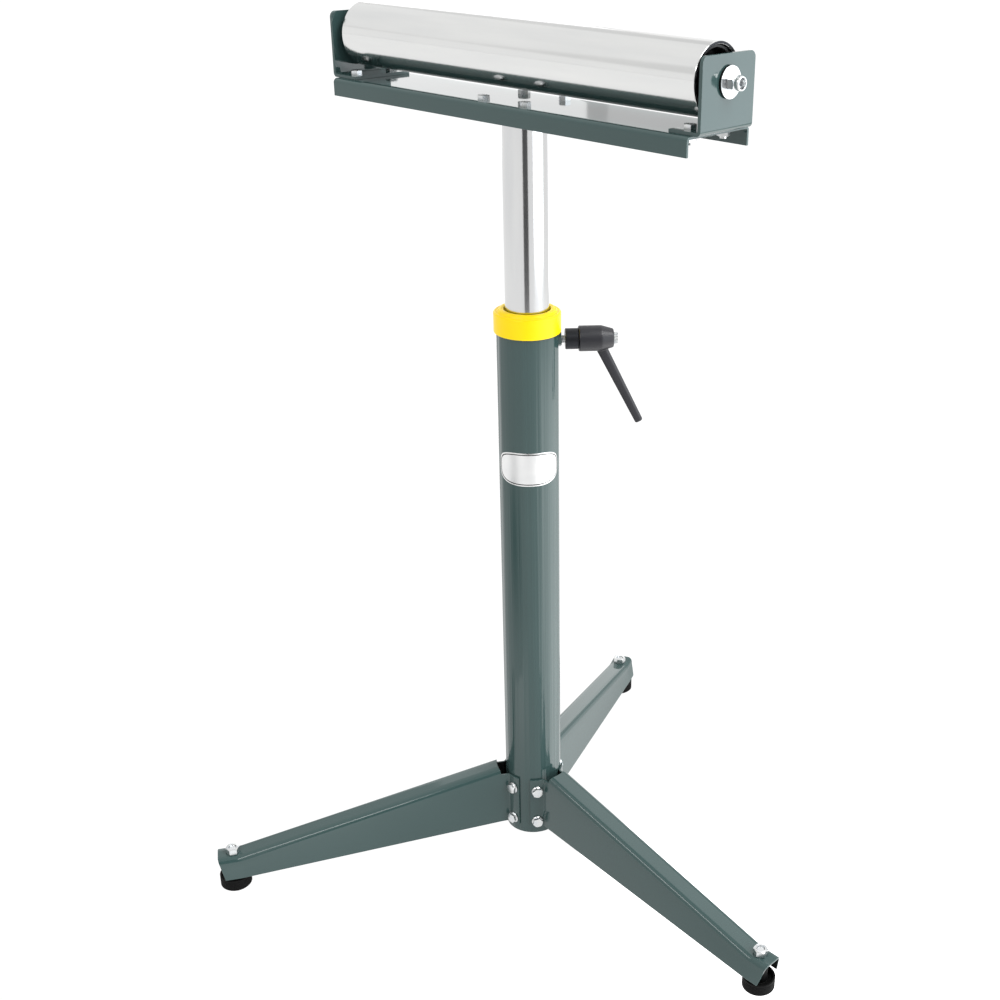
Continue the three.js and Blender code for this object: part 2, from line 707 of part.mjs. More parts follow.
function bearingOuter() {
  const outer = BEARING_OD / 2;
  const shieldBore = AXLE_OD / 2 + BEARING_RACE + 2 * FIT;
  return turned([
    [outer - BEARING_RACE, bearingStart],
    [outer, bearingStart],
    [outer, bearingEnd],
    [shieldBore, bearingEnd],
    [shieldBore, bearingEnd - BEARING_SHIELD],
    [outer - BEARING_RACE, bearingEnd - BEARING_SHIELD],
  ], INNER_ROUND);
}

function bearingInner() {
  return ring(AXLE_OD / 2 + FIT, AXLE_OD / 2 + BEARING_RACE, bearingStart, bearingEnd, INNER_ROUND);
}

const washerStart = bracketFace + SEAT;
const locknutStart = washerStart + WASHER_THICK + SEAT;
const locknutEnd = locknutStart + LOCKNUT_HEX + LOCKNUT_COLLAR;

function axle() {
  const shoulder = bracketFace - BRACKET_WALL - FIT;
  const end = locknutEnd - AXLE_END_RECESS;
  const thread = rod(AXLE_THREAD / 2, -end, end);
  return rod(AXLE_OD / 2, -shoulder, shoulder, INNER_ROUND).add(thread);
}

function washer() {
  return ring(AXLE_THREAD / 2 + FIT, WASHER_OD / 2, washerStart, washerStart + WASHER_THICK, INNER_ROUND);
}

function lockNut() {
  const bore = AXLE_THREAD / 2 + FIT;
  const hexEnd = locknutStart + LOCKNUT_HEX;
  const collar = ring(bore, LOCKNUT_COLLAR_OD / 2, hexEnd - SEAT, locknutEnd, SMALL_ROUND);
  const hex = hexagon(LOCKNUT_ACROSS, locknutStart, hexEnd).subtract(rod(bore, locknutStart - 1, locknutEnd));
  return hex.add(collar);
}

function addHead(stand) {
  addPiece(stand, 'guide_bush', guideBush(), blackPlastic);
  addPiece(stand, 'post_tube', postTube(), chrome);
  addPiece(stand, 'head_channel', headChannel(), paint);

  const centreLength = CHANNEL_WALL + SEAT + POST_PLATE_THICK + CENTRE_BOLT_STANDOUT;
  const centreBolt = hexBolt(M6_ACROSS, M6, M6_HEAD, centreLength);
  centreBoltSpots().forEach(([x, y], index) => {
    const mesh = addPiece(stand, `centre_bolt_${index + 1}`, centreBolt, zinc);
    mesh.position.set(x, y, CHANNEL_TOP + SEAT);
  });

  const lay = new THREE.Group();
  lay.position.z = axleHeight;
  lay.rotation.y = Math.PI / 2;
  stand.add(lay);
  const bore = rollerRadius - ROLLER_WALL;
  addPiece(lay, 'roller_tube', ring(bore, rollerRadius, -ROLLER_LENGTH / 2, ROLLER_LENGTH / 2), chrome);
  addPiece(lay, 'axle', axle(), zinc);

  const flangeTop = bracketBase + BRACKET_WALL;
  const nutTop = channelUnderside - SEAT;
  const boltLength = flangeTop + SEAT - nutTop + M6_NUT + BRACKET_BOLT_STANDOUT;
  for (const { name, turn } of [{ name: 'right', turn: 0 }, { name: 'left', turn: Math.PI }]) {
    const end = new THREE.Group();
    end.rotation.z = turn;
    stand.add(end);
    addPiece(end, `end_bracket_${name}`, endBracket(), paint);
    [-1, 1].forEach((row, index) => {
      const y = (row * BRACKET_BOLT_PITCH) / 2;
      const bolt = addPiece(end, `bracket_bolt_${name}_${index + 1}`,
        hexBolt(M6_ACROSS, M6, M6_HEAD, boltLength), zinc);
      const nut = addPiece(end, `bracket_nut_${name}_${index + 1}`, hexNut(M6_ACROSS, M6, M6_NUT), zinc);
      bolt.position.set(bracketBoltX, y, flangeTop + SEAT);
      nut.position.set(bracketBoltX, y, nutTop - M6_NUT);
    });
    const spun = [
      addPiece(end, `end_cap_${name}`, endCap(), darkSteel),
      addPiece(end, `bearing_outer_${name}`, bearingOuter(), zinc),
      addPiece(end, `bearing_inner_${name}`, bearingInner(), zinc),
      addPiece(end, `axle_washer_${name}`, washer(), zinc),
      addPiece(end, `axle_nut_${name}`, lockNut(), zinc),
    ];
    for (const piece of spun) {
      piece.position.z = axleHeight;
      piece.rotation.y = Math.PI / 2;
    }
  }
}

const stand = new THREE.Group();
addPiece(stand, 'column_tube', columnTube(), paint);
addPiece(stand, 'collar_ring', collarRing(), yellow);
addLegs(stand);
addClamp(stand);
addHead(stand);

// The stand's reference point is the floor under the middle of its box.
stand.updateMatrixWorld(true);
const middle = new THREE.Box3().setFromObject(stand, true).getCenter(new THREE.Vector3());
stand.position.set(-middle.x, -middle.y, 0);

export default stand;
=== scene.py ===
# %% [markdown]
# # A roller stand, dressed
# The stand has a painted tripod and column, a bright sliding post with a clamp lever, and a
# steel roller between two end plates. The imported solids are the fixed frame. Every piece below
# is made in that frame, in millimetres first and then in metres, and takes the place of its solid.

# %% Load the fixed frame
import math

import bmesh
import bpy
from mathutils import Matrix, Vector


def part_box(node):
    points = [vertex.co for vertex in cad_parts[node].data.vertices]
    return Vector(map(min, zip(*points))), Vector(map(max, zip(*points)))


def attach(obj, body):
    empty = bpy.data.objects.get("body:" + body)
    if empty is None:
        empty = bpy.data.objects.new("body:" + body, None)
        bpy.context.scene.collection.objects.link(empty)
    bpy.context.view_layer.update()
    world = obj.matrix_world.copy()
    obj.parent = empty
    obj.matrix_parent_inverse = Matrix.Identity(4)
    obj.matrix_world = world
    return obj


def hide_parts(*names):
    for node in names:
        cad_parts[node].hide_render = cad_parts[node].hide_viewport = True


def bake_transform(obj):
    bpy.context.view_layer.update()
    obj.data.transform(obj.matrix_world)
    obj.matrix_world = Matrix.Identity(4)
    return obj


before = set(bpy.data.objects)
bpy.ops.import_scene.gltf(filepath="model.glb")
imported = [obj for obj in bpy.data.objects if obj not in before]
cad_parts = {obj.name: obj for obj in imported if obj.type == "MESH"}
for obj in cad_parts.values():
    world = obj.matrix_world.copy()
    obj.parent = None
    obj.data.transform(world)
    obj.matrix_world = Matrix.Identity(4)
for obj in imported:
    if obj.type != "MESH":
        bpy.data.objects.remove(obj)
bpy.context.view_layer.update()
MM = 0.001
low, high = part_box("column_tube")
column_axis = Vector(((low[0] + high[0]) / 2, (low[1] + high[1]) / 2, 0))
print("solids:", len(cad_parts), "column axis at", [round(v / MM, 2) for v in column_axis])

# %% [markdown]
# ## Camera
# The camera was solved from the photograph's edges. Its place is given from the column's axis.
# The frame is a crop from a wider picture, so the lens has a sideways shift.

# %% Camera
CAMERA_PLACE = (896.19, -898.65, 1007.85)
CAMERA_YAW, CAMERA_PITCH, CAMERA_ROLL = 40.2575, 24.8378, 1.1913
FOCAL_PX, CENTRE_PX, FRAME_PX = 1373.27, (631.36, 502.56), 1000
SENSOR_MM = 36

yaw, pitch, roll = (math.radians(a) for a in (CAMERA_YAW, CAMERA_PITCH, CAMERA_ROLL))
forward = Vector((-math.sin(yaw) * math.cos(pitch), math.cos(yaw) * math.cos(pitch), -math.sin(pitch)))
level = Vector((math.cos(yaw), math.sin(yaw), 0))
above = level.cross(forward)
right = math.cos(roll) * level + math.sin(roll) * above
up = math.cos(roll) * above - math.sin(roll) * level

lens = bpy.data.cameras.new("photo_camera")
lens.sensor_width = SENSOR_MM
lens.lens = FOCAL_PX / FRAME_PX * SENSOR_MM
lens.shift_x = -(CENTRE_PX[0] - FRAME_PX / 2) / FRAME_PX
lens.shift_y = (CENTRE_PX[1] - FRAME_PX / 2) / FRAME_PX
lens.clip_end = 100
camera = bpy.data.objects.new("photo_camera", lens)
turn = Matrix((right, up, -forward)).transposed().to_4x4()
camera.matrix_world = Matrix.Translation(column_axis + Vector(CAMERA_PLACE) * MM) @ turn
bpy.context.scene.collection.objects.link(camera)
bpy.context.scene.camera = camera
print("lens", round(lens.lens, 2), "mm, shift", round(lens.shift_x, 4), round(lens.shift_y, 4))

# %% [markdown]
# ## Helpers for nodes and colours
# Materials and Geometry Nodes trees are both node trees, so one small function adds a node to
# either: it sets the node's own settings, then fills or links its sockets. A list of sockets is
# linked one after the other, for a node that joins several inputs.

# %% Node and colour helpers


def add_node(tree, kind, sockets=None, **settings):
    node = tree.nodes.new(kind)
    for name, value in settings.items():
        setattr(node, name, value)
    for name, value in (sockets or {}).items():
        sources = value if isinstance(value, list) else [value]
        for source in sources:
            if isinstance(source, bpy.types.NodeSocket):
                tree.links.new(source, node.inputs[name])
            else:
                node.inputs[name].default_value = source
    return node


def linear(hex_colour):
    channels = [int(hex_colour[i:i + 2], 16) / 255 for i in (1, 3, 5)]
    return tuple(c / 12.92 if c <= 0.04045 else ((c + 0.055) / 1.055) ** 2.4 for c in channels) + (1.0,)


def start_material(name, **uniform):
    material = bpy.data.materials.new(name)
    material.use_nodes = True
    shader = material.node_tree.nodes["Principled BSDF"]
    for socket, value in uniform.items():
        shader.inputs[socket.replace("_", " ")].default_value = value
    place = add_node(material.node_tree, "ShaderNodeTexCoord").outputs["Object"]
    return material, material.node_tree, shader, place


print("white is", linear("#FFFFFF"))

# %% [markdown]
# ## Grey-green stove enamel
# The column, legs, channel and end plates are sprayed and baked. The enamel is one glossy layer that mirrors its
# surroundings at a glancing angle, with a faint orange peel about 3 mm wide. On the column it also follows the
# fine lengthwise ripples of drawn tube, about 7 mm apart.

# %% Enamel
PEEL_MM, CLOUD_MM, RIPPLE_MM = 3.0, 120.0, 7.0


def stove_enamel(name, rippled):
    material, tree, shader, place = start_material(name, Roughness=0.07, IOR=1.5)
    cloud = add_node(tree, "ShaderNodeTexNoise", {"Vector": place, "Scale": 1 / (CLOUD_MM * MM), "Detail": 2.0})
    tone = add_node(tree, "ShaderNodeMix", {
        0: cloud.outputs[0], 6: linear("#2F4342"), 7: linear("#354A49")}, data_type="RGBA")
    tree.links.new(tone.outputs[2], shader.inputs["Base Color"])
    peel = add_node(tree, "ShaderNodeTexNoise", {"Vector": place, "Scale": 1 / (PEEL_MM * MM), "Detail": 1.0})
    bump = add_node(tree, "ShaderNodeBump", {"Height": peel.outputs[0], "Strength": 0.02, "Distance": 0.0004})
    if rippled:
        lengthwise = add_node(tree, "ShaderNodeMapping", {"Vector": place, "Scale": (1.0, 1.0, 0.01)})
        ripple = add_node(tree, "ShaderNodeTexNoise", {
            "Vector": lengthwise.outputs[0], "Scale": 1 / (RIPPLE_MM * MM), "Detail": 2.0})
        wavy = add_node(tree, "ShaderNodeBump", {"Height": ripple.outputs[0], "Strength": 1.0, "Distance": 0.0012})
        tree.links.new(wavy.outputs[0], bump.inputs["Normal"])
    tree.links.new(bump.outputs[0], shader.inputs["Normal"])
    return material


enamel = stove_enamel("stove_enamel_grey_green", False)
column_enamel = stove_enamel("stove_enamel_on_drawn_tube", True)
print("made", enamel.name, "and", column_enamel.name)

# %% [markdown]
# ## Bright plated tube
# The roller and the post are ground and plated tube. Grinding leaves faint rings round the axis,
# far finer than a pixel, so they are drawn 1.5 mm apart. Handling leaves soft cloudy streaks along
# the roller. The same recipe serves both tubes, with the rings across the tube's own axis.

# %% Plated tubes
RING_MM, STREAK_MM, STREAK_STRETCH = 1.5, 14.0, 9.0


def plated_tube(name, along, roughness, tones):
    material, tree, shader, place = start_material(name, Metallic=1.0)
    finely = [1 / (40 * RING_MM * MM)] * 3
    finely[along] = 1 / (RING_MM * MM)
    broadly = [1 / (STREAK_MM * MM)] * 3
    broadly[along] /= STREAK_STRETCH
    ring_place = add_node(tree, "ShaderNodeMapping", {"Vector": place, "Scale": tuple(finely)}).outputs[0]
    rings = add_node(tree, "ShaderNodeTexNoise", {"Vector": ring_place, "Scale": 1.0, "Detail": 2.0})
    streak_place = add_node(tree, "ShaderNodeMapping", {"Vector": place, "Scale": tuple(broadly)}).outputs[0]
    streaks = add_node(tree, "ShaderNodeTexNoise", {"Vector": streak_place, "Scale": 1.0, "Detail": 4.0})
    tone = add_node(tree, "ShaderNodeMix", {
        0: streaks.outputs[0], 6: linear(tones[0]), 7: linear(tones[1])}, data_type="RGBA")
    tree.links.new(tone.outputs[2], shader.inputs["Base Color"])
    dull = add_node(tree, "ShaderNodeMapRange", {
        "Value": streaks.outputs[0], "To Min": roughness * 0.7, "To Max": roughness * 1.5})
    tree.links.new(dull.outputs[0], shader.inputs["Roughness"])
    bump = add_node(tree, "ShaderNodeBump", {"Height": rings.outputs[0], "Strength": 0.03, "Distance": 0.0003})
    tree.links.new(bump.outputs[0], shader.inputs["Normal"])
    return material


roller_plate = plated_tube("ground_plated_roller_steel", 0, 0.14, ("#D6D7D7", "#E6E6E4"))
post_plate = plated_tube("ground_plated_post_steel", 2, 0.12, ("#C6C7C9", "#DADAD9"))
print("made", roller_plate.name, "and", post_plate.name)

# %% [markdown]
# ## Zinc-plated fasteners
# Bright zinc is a crystalline plate with a slight blue cast. Its roughness varies over a few
# millimetres from handling and from the passivation bath.

# %% Zinc
zinc, tree, shader, place = start_material("bright_zinc_plate", Metallic=1.0)
SPANGLE_MM, GRAIN_MM = 4.0, 0.6
spangle = add_node(tree, "ShaderNodeTexNoise", {"Vector": place, "Scale": 1 / (SPANGLE_MM * MM), "Detail": 3.0})
tone = add_node(tree, "ShaderNodeMix", {
    0: spangle.outputs[0], 6: linear("#C3CAD2"), 7: linear("#E4E2DC")}, data_type="RGBA")
tree.links.new(tone.outputs[2], shader.inputs["Base Color"])
dull = add_node(tree, "ShaderNodeMapRange", {"Value": spangle.outputs[0], "To Min": 0.2, "To Max": 0.4})
tree.links.new(dull.outputs[0], shader.inputs["Roughness"])
grain = add_node(tree, "ShaderNodeTexNoise", {"Vector": place, "Scale": 1 / (GRAIN_MM * MM)})
bump = add_node(tree, "ShaderNodeBump", {"Height": grain.outputs[0], "Strength": 0.06, "Distance": 0.0002})
tree.links.new(bump.outputs[0], shader.inputs["Normal"])
print("made", zinc.name)

# %% [markdown]
# ## Mouldings: yellow ABS, black nylon and rubber
# Each moulding has the fine grain of its tool. ABS is dense and semi-gloss, the glass-filled nylon of
# the lever is satin with a spark-eroded grain, and the rubber feet are matt.
# The grains are under a millimetre, so they are drawn at about a millimetre to show at all.

# %% Mouldings


def moulding(name, colours, roughness, grain_mm, relief, cloud_mm=30.0, **uniform):
    material, tree, shader, place = start_material(name, **uniform)
    cloud = add_node(tree, "ShaderNodeTexNoise", {"Vector": place, "Scale": 1 / (cloud_mm * MM), "Detail": 3.0})
    tone = add_node(tree, "ShaderNodeMix", {
        0: cloud.outputs[0], 6: linear(colours[0]), 7: linear(colours[1])}, data_type="RGBA")
    tree.links.new(tone.outputs[2], shader.inputs["Base Color"])
    dull = add_node(tree, "ShaderNodeMapRange", {
        "Value": cloud.outputs[0], "To Min": roughness[0], "To Max": roughness[1]})
    tree.links.new(dull.outputs[0], shader.inputs["Roughness"])
    grain = add_node(tree, "ShaderNodeTexNoise", {"Vector": place, "Scale": 1 / (grain_mm * MM), "Detail": 2.0})
    bump = add_node(tree, "ShaderNodeBump", {"Height": grain.outputs[0], "Strength": relief, "Distance": 0.0003})
    tree.links.new(bump.outputs[0], shader.inputs["Normal"])
    return material


yellow_abs = moulding("yellow_abs_moulding", ("#F3CE00", "#F7D600"), (0.3, 0.4), 1.2, 0.05, IOR=1.32)
black_nylon = moulding("black_glass_filled_nylon", ("#0D0D14", "#15151D"), (0.36, 0.48), 0.9, 0.22, IOR=1.53)
foot_rubber = moulding("black_foot_rubber", ("#050505", "#0A0A0A"), (0.55, 0.75), 1.1, 0.25, 12.0, IOR=1.22)
print("made", yellow_abs.name, black_nylon.name, foot_rubber.name)

# %% [markdown]
# ## Dark and bright steel inside
# The lever's insert is blackened, the roller's end caps are black pressings, and the bearing rings are ground.
# The ground rings share one recipe with the blackened steel: a metal with a fine grain. The inside faces of
# the legs get a near-black material that is painted shade, for the shade inside the folded legs.

# %% Other steels
black_oxide = moulding(
    "black_oxide_steel", ("#26272A", "#34363A"), (0.3, 0.45), 0.8, 0.08, Metallic=0.85)
cap_black = moulding("black_lacquered_pressing", ("#0D0E0F", "#17191A"), (0.4, 0.55), 1.0, 0.08, IOR=1.5)
bearing_steel = moulding("ground_bearing_steel", ("#9FA3A6", "#B9BCBE"), (0.2, 0.32), 0.8, 0.05, Metallic=1.0)
foil = moulding("satin_aluminium_foil", ("#D9DADB", "#EFEFEE"), (0.22, 0.36), 0.7, 0.06, 18.0, Metallic=1.0)
border_ink = moulding("black_border_ink", ("#0B0C0D", "#121314"), (0.6, 0.7), 0.8, 0.03, IOR=1.25)
# Painted shade: a near-black material for the inside faces of the legs.
leg_inside_shade = moulding("painted_shade_leg_inside", ("#0A0E0E", "#101515"), (0.5, 0.65), 1.0, 0.05, IOR=1.35)
print("made", black_oxide.name, cap_black.name, bearing_steel.name, foil.name, border_ink.name, leg_inside_shade.name)

# %% [markdown]
# ## Helpers for turned pieces
# A lathe piece is a closed outline of radius and height that is spun round an axis. Real edges are
# never quite sharp, so every corner of the outline is rounded first. A guard point on each side of a
# rounded corner keeps the flat faces beside it flat under smooth shading.

# %% Turned pieces
SHARP_DEGREES = 38


def soften(outline, radius, steps=3):
    points = []
    count = len(outline)
    for i, corner in enumerate(outline):
        here = Vector(corner)
        back = Vector(outline[i - 1]) - here
        ahead = Vector(outline[(i + 1) % count]) - here
        reach = min(radius, 0.36 * min(back.length, ahead.length))
        if here.x < 1e-6 or reach < 1e-6 or abs(back.angle(ahead) - math.pi) < 0.2:
            points.append(here)
            continue
        start = here + back.normalized() * reach
        end = here + ahead.normalized() * reach
        points.append(here + back.normalized() * reach * 1.3)
        for step in range(steps + 1):
            t = step / steps
            points.append(start * (1 - t) ** 2 + here * 2 * t * (1 - t) + end * t ** 2)
        points.append(here + ahead.normalized() * reach * 1.3)
    return points


def spin(shape, outline, steps, place):
    rings = []
    for radius, height in outline:
        turns = range(steps) if radius > 1e-6 else range(1)
        ring = []
        for step in turns:
            angle = 2 * math.pi * step / steps
            spot = Vector((radius * math.cos(angle), radius * math.sin(angle), height))
            ring.append(shape.verts.new(place @ (spot * MM)))
        rings.append(ring)
    made = []
    for ring, following in zip(rings, rings[1:] + rings[:1]):
        for step in range(steps):
            corners = [ring[step % len(ring)], ring[(step + 1) % steps % len(ring)],
                       following[(step + 1) % steps % len(following)], following[step % len(following)]]
            corners = list(dict.fromkeys(corners))
            if len(corners) > 2:
                made.append(shape.faces.new(corners))
    bmesh.ops.recalc_face_normals(shape, faces=made)


def finish_mesh(shape, name, material):
    mesh = bpy.data.meshes.new(name)
    shape.to_mesh(mesh)
    shape.free()
    mesh.shade_smooth()
    mesh.set_sharp_from_angle(angle=math.radians(SHARP_DEGREES))
    mesh.materials.append(material)
    piece = bpy.data.objects.new(name, mesh)
    bpy.context.scene.collection.objects.link(piece)
    return piece


def turned(name, outline, material, place, radius=0.4, steps=96):
    shape = bmesh.new()
    spin(shape, soften(outline, radius), steps, place)
    return finish_mesh(shape, name, material)


def seat(piece, body, slot, *nodes):
    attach(piece, body)
    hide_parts(*nodes)
    print(piece.name, "rides on", body, "for", len(nodes), "solids,", len(piece.data.polygons), "faces")


upright = Matrix.Translation(column_axis)
print("column frame ready")

# %% [markdown]
# ## Column and clamp boss
# The column is 60.3 mm pipe, cut square, with a welded hexagon boss for the clamp screw. A lathe with six
# steps makes the hexagon.

# %% Column
COLUMN_R, COLUMN_BORE, COLUMN_LOW, COLUMN_TOP = 30.15, 27.65, 28.5, 619.0
CLAMP_DEGREES, CLAMP_Z = 48, 593.0
BOSS_ACROSS, BOSS_OUT = 13.0, 2.4

outwards = Matrix.Rotation(math.radians(CLAMP_DEGREES), 4, "Z") @ Matrix.Rotation(math.pi / 2, 4, "Y")
clamp_place = Matrix.Translation(column_axis + Vector((0, 0, CLAMP_Z * MM))) @ outwards
shape = bmesh.new()
wall = [(COLUMN_BORE, COLUMN_LOW), (COLUMN_R, COLUMN_LOW), (COLUMN_R, COLUMN_TOP), (COLUMN_BORE, COLUMN_TOP)]
spin(shape, soften(wall, 0.5), 160, upright)
boss_r = BOSS_ACROSS / math.sqrt(3)
boss = [(4.3, COLUMN_BORE + 1), (boss_r, COLUMN_BORE + 1), (boss_r, COLUMN_R + BOSS_OUT), (4.3, COLUMN_R + BOSS_OUT)]
spin(shape, soften(boss, 0.5), 6, clamp_place)
column = finish_mesh(shape, "column_pipe", column_enamel)
seat(column, "stand", "paint", "column_tube")

# %% [markdown]
# ## Yellow collar
# A moulded cap covers the column's end and guides the post. A rounded lip stands up round the post, with a
# shallow groove between the lip and the outer rim, and a fine gap is left open round the post.

# %% Collar
COLLAR_LOW, COLLAR_TOP = 602.0, 625.0
collar_outline = [
    (21.5, 603.0), (27.35, 603.0), (27.35, 619.3), (30.45, 619.3), (30.45, COLLAR_LOW), (32.45, COLLAR_LOW),
    (32.45, COLLAR_TOP - 3.9), (30.6, COLLAR_TOP - 2.8), (29.2, COLLAR_TOP - 3.5), (27.6, COLLAR_TOP - 0.9),
    (24.8, COLLAR_TOP), (22.5, COLLAR_TOP - 0.5), (22.5, COLLAR_TOP - 5.5), (21.5, COLLAR_TOP - 5.5)]
collar = turned("collar_moulding", collar_outline, yellow_abs, upright, 0.7, 128)
seat(collar, "stand", "yellow_plastic", "collar_ring")

# %% [markdown]
# ## Sheet-metal helper
# Legs, channel and end plates are bent from sheet. Each is drawn as the outer skin of the sheet, as grids
# of points. Solidify then gives the sheet its thickness inwards, and a fine bevel breaks the cut edges.

# %% Sheet metal
EDGE_BREAK = 0.35


def bent_sheet(name, grids, thickness, outward, place, material, inside=None):
    shape = bmesh.new()
    for grid in grids:
        columns = [[shape.verts.new(place @ (Vector(p) * MM)) for p in column] for column in grid]
        for first, second in zip(columns, columns[1:]):
            for i in range(len(first) - 1):
                shape.faces.new((first[i], first[i + 1], second[i + 1], second[i]))
    bmesh.ops.remove_doubles(shape, verts=shape.verts, dist=1e-6)
    bmesh.ops.recalc_face_normals(shape, faces=shape.faces)
    heading = place.to_3x3() @ Vector(outward)
    largest = max(shape.faces, key=lambda face: face.calc_area() * abs(face.normal.dot(heading)))
    if largest.normal.dot(heading) < 0:
        bmesh.ops.reverse_faces(shape, faces=shape.faces)
    piece = finish_mesh(shape, name, material)
    wall = piece.modifiers.new("sheet", "SOLIDIFY")
    wall.thickness = thickness * MM
    wall.offset = -1
    wall.use_even_offset = True
    if inside:
        piece.data.materials.append(inside)
        wall.material_offset = 1
    edge = piece.modifiers.new("edges", "BEVEL")
    edge.width = EDGE_BREAK * MM
    edge.segments = 2
    edge.limit_method = "ANGLE"
    edge.angle_limit = math.radians(45)
    edge.harden_normals = True
    return piece


def arch(half, spread, top, bottom, bend, rows=5, steps=8, across=6):
    side = [(spread + (half - spread) * i / rows, bottom + (top - bend - bottom) * i / rows) for i in range(rows)]
    for step in range(steps + 1):
        turn = step / steps * math.pi / 2
        side.append((half - bend + bend * math.cos(turn), top - bend + bend * math.sin(turn)))
    web = [((half - bend) * (1 - 2 * i / across), top) for i in range(1, across)]
    return side + web + [(-y, z) for y, z in reversed(side)]


print("an arch has", len(arch(13, 17, 38, 17.5, 4)), "points")

# %% [markdown]
# ## Legs
# Each leg is a folded channel that gets deeper towards the column. Its web is cut back in a curve round the
# column, and its two sides turn outwards there into tabs that lie against the column. The plan of a side is a
# straight run, a small concave bend and then an arc round the column, so the tab is one sheet with the leg.
# The outer end is cut at a slant.

# %% Legs
LEG_DEGREES = (-3, 114, 236)
LEG_REACH, PAD_BACK, PAD_FRONT, PAD_TOP, PAD_LOW = 328.5, 6.5, 16.0, 41.0, 17.5
LEG_HALF, LEG_SPREAD, LEG_BEND, LEG_WALL, END_SLANT = 13.0, 17.0, 6.5, 2.0, 6.0
SADDLE_R, SADDLE_TOP = 40.65, 105.8
TAB_R, TAB_LOW, TAB_TOP, TAB_END, TAB_BEND = 32.45, 38.0, 100.0, 49.0, 3.0
FOLD_HALF = 4.0
fold_x = LEG_REACH - PAD_BACK
top_slope = (SADDLE_TOP - PAD_TOP) / (fold_x - SADDLE_R)
low_slope = (TAB_LOW - PAD_LOW) / (fold_x - 30.45)


def rise(x, slope):
    ahead = x - fold_x
    if ahead >= FOLD_HALF:
        return 0.0
    if ahead <= -FOLD_HALF:
        return -ahead * slope
    return slope * (FOLD_HALF - ahead) ** 2 / (4 * FOLD_HALF)


def leg_section(x):
    flare = min(1.0, (x - 20) / (fold_x - 20))
    spread = LEG_HALF + (LEG_SPREAD - LEG_HALF) * flare
    return arch(LEG_HALF, spread, PAD_TOP + rise(x, top_slope), PAD_LOW + rise(x, low_slope), LEG_BEND)


def leg_grids():
    end = LEG_REACH + PAD_FRONT
    lean = END_SLANT / (PAD_TOP - PAD_LOW)
    columns = [[(end - lean * (PAD_TOP - z), y, z) for y, z in leg_section(end)]]
    stations = [fold_x + d for d in (11, 4, 2, 0, -2, -4)]
    columns += [[(x, y, z) for y, z in leg_section(x)] for x in stations]
    start = stations[-1]
    for step in range(1, 13):
        column = []
        for i, (y, _) in enumerate(leg_section(SADDLE_R)):
            x = start + (math.sqrt(SADDLE_R ** 2 - min(abs(y), LEG_HALF) ** 2) - start) * step / 12
            column.append((x, *leg_section(x)[i]))
        columns.append(column)
    plan = [(33.2, LEG_HALF)]
    centre = Vector((math.sqrt((TAB_R + TAB_BEND) ** 2 - (LEG_HALF + TAB_BEND) ** 2), LEG_HALF + TAB_BEND))
    tab_start = math.atan2(centre.y, centre.x)
    for step in range(7):
        turn = -math.pi / 2 - (math.pi / 2 - tab_start) * step / 6
        plan.append((centre.x + TAB_BEND * math.cos(turn), centre.y + TAB_BEND * math.sin(turn)))
    for step in range(1, 9):
        turn = tab_start + (math.radians(TAB_END) - tab_start) * step / 8
        plan.append((TAB_R * math.cos(turn), TAB_R * math.sin(turn)))
    tabs = []
    for side in (1, -1):
        edge = columns[-1][:6] if side > 0 else columns[-1][:-7:-1]
        tab = [edge]
        for step, (x, y) in enumerate(plan):
            settle = min(1.0, step / 7)
            bottom = edge[0][2] + (TAB_LOW - edge[0][2]) * settle
            top = edge[-1][2] + (TAB_TOP - edge[-1][2]) * settle
            tab.append([(x, side * y, bottom + (top - bottom) * i / 5) for i in range(6)])
        tabs.append(tab)
    return [columns] + tabs


# The legs' inside faces take the painted-shade material.
for number, degrees in enumerate(LEG_DEGREES, 1):
    place = upright @ Matrix.Rotation(math.radians(degrees), 4, "Z")
    leg = bent_sheet(f"leg_sheet_{number}", leg_grids(), LEG_WALL, (0, 0, 1), place, enamel, leg_inside_shade)
    seat(leg, "stand", "paint", f"leg_{number}")

# %% [markdown]
# ## Feet
# A rubber cup with a stem is moulded on each foot's stud. Fine ribs run round its side, and its lower rim is
# chamfered.

# %% Feet
FOOT_R, FOOT_TOP, FOOT_FLOOR, STEM_R, STEM_TOP = 16.4, 14.5, 10.5, 8.4, 38.7
RIB_PITCH, RIB_DEPTH = 1.7, 0.35
foot_outline = [(0, 0), (FOOT_R - 2, 0), (FOOT_R, 2)]
for rib in range(6):
    low = 2.8 + rib * RIB_PITCH
    foot_outline += [(FOOT_R, low), (FOOT_R - RIB_DEPTH, low + 0.3), (FOOT_R - RIB_DEPTH, low + 0.6), (FOOT_R, low + 0.9)]
foot_outline += [
    (FOOT_R, FOOT_TOP), (FOOT_R - 2.4, FOOT_TOP), (FOOT_R - 2.4, FOOT_FLOOR), (STEM_R, FOOT_FLOOR),
    (STEM_R, STEM_TOP - 2), (STEM_R - 2, STEM_TOP), (4.3, STEM_TOP), (4.3, 6.0), (0, 6.0)]
foot_spots = []
for number, degrees in enumerate(LEG_DEGREES, 1):
    angle = math.radians(degrees)
    spot = column_axis + Vector((math.cos(angle), math.sin(angle), 0)) * LEG_REACH * MM
    foot_spots.append(spot)
    foot = turned(f"foot_moulding_{number}", foot_outline, foot_rubber, Matrix.Translation(spot), 0.7, 72)
    seat(foot, "stand", "rubber", f"foot_pad_{number}")

# %% [markdown]
# ## Post
# The post is 42.4 mm tube with a tapped plate welded to its top, which the head is bolted to.

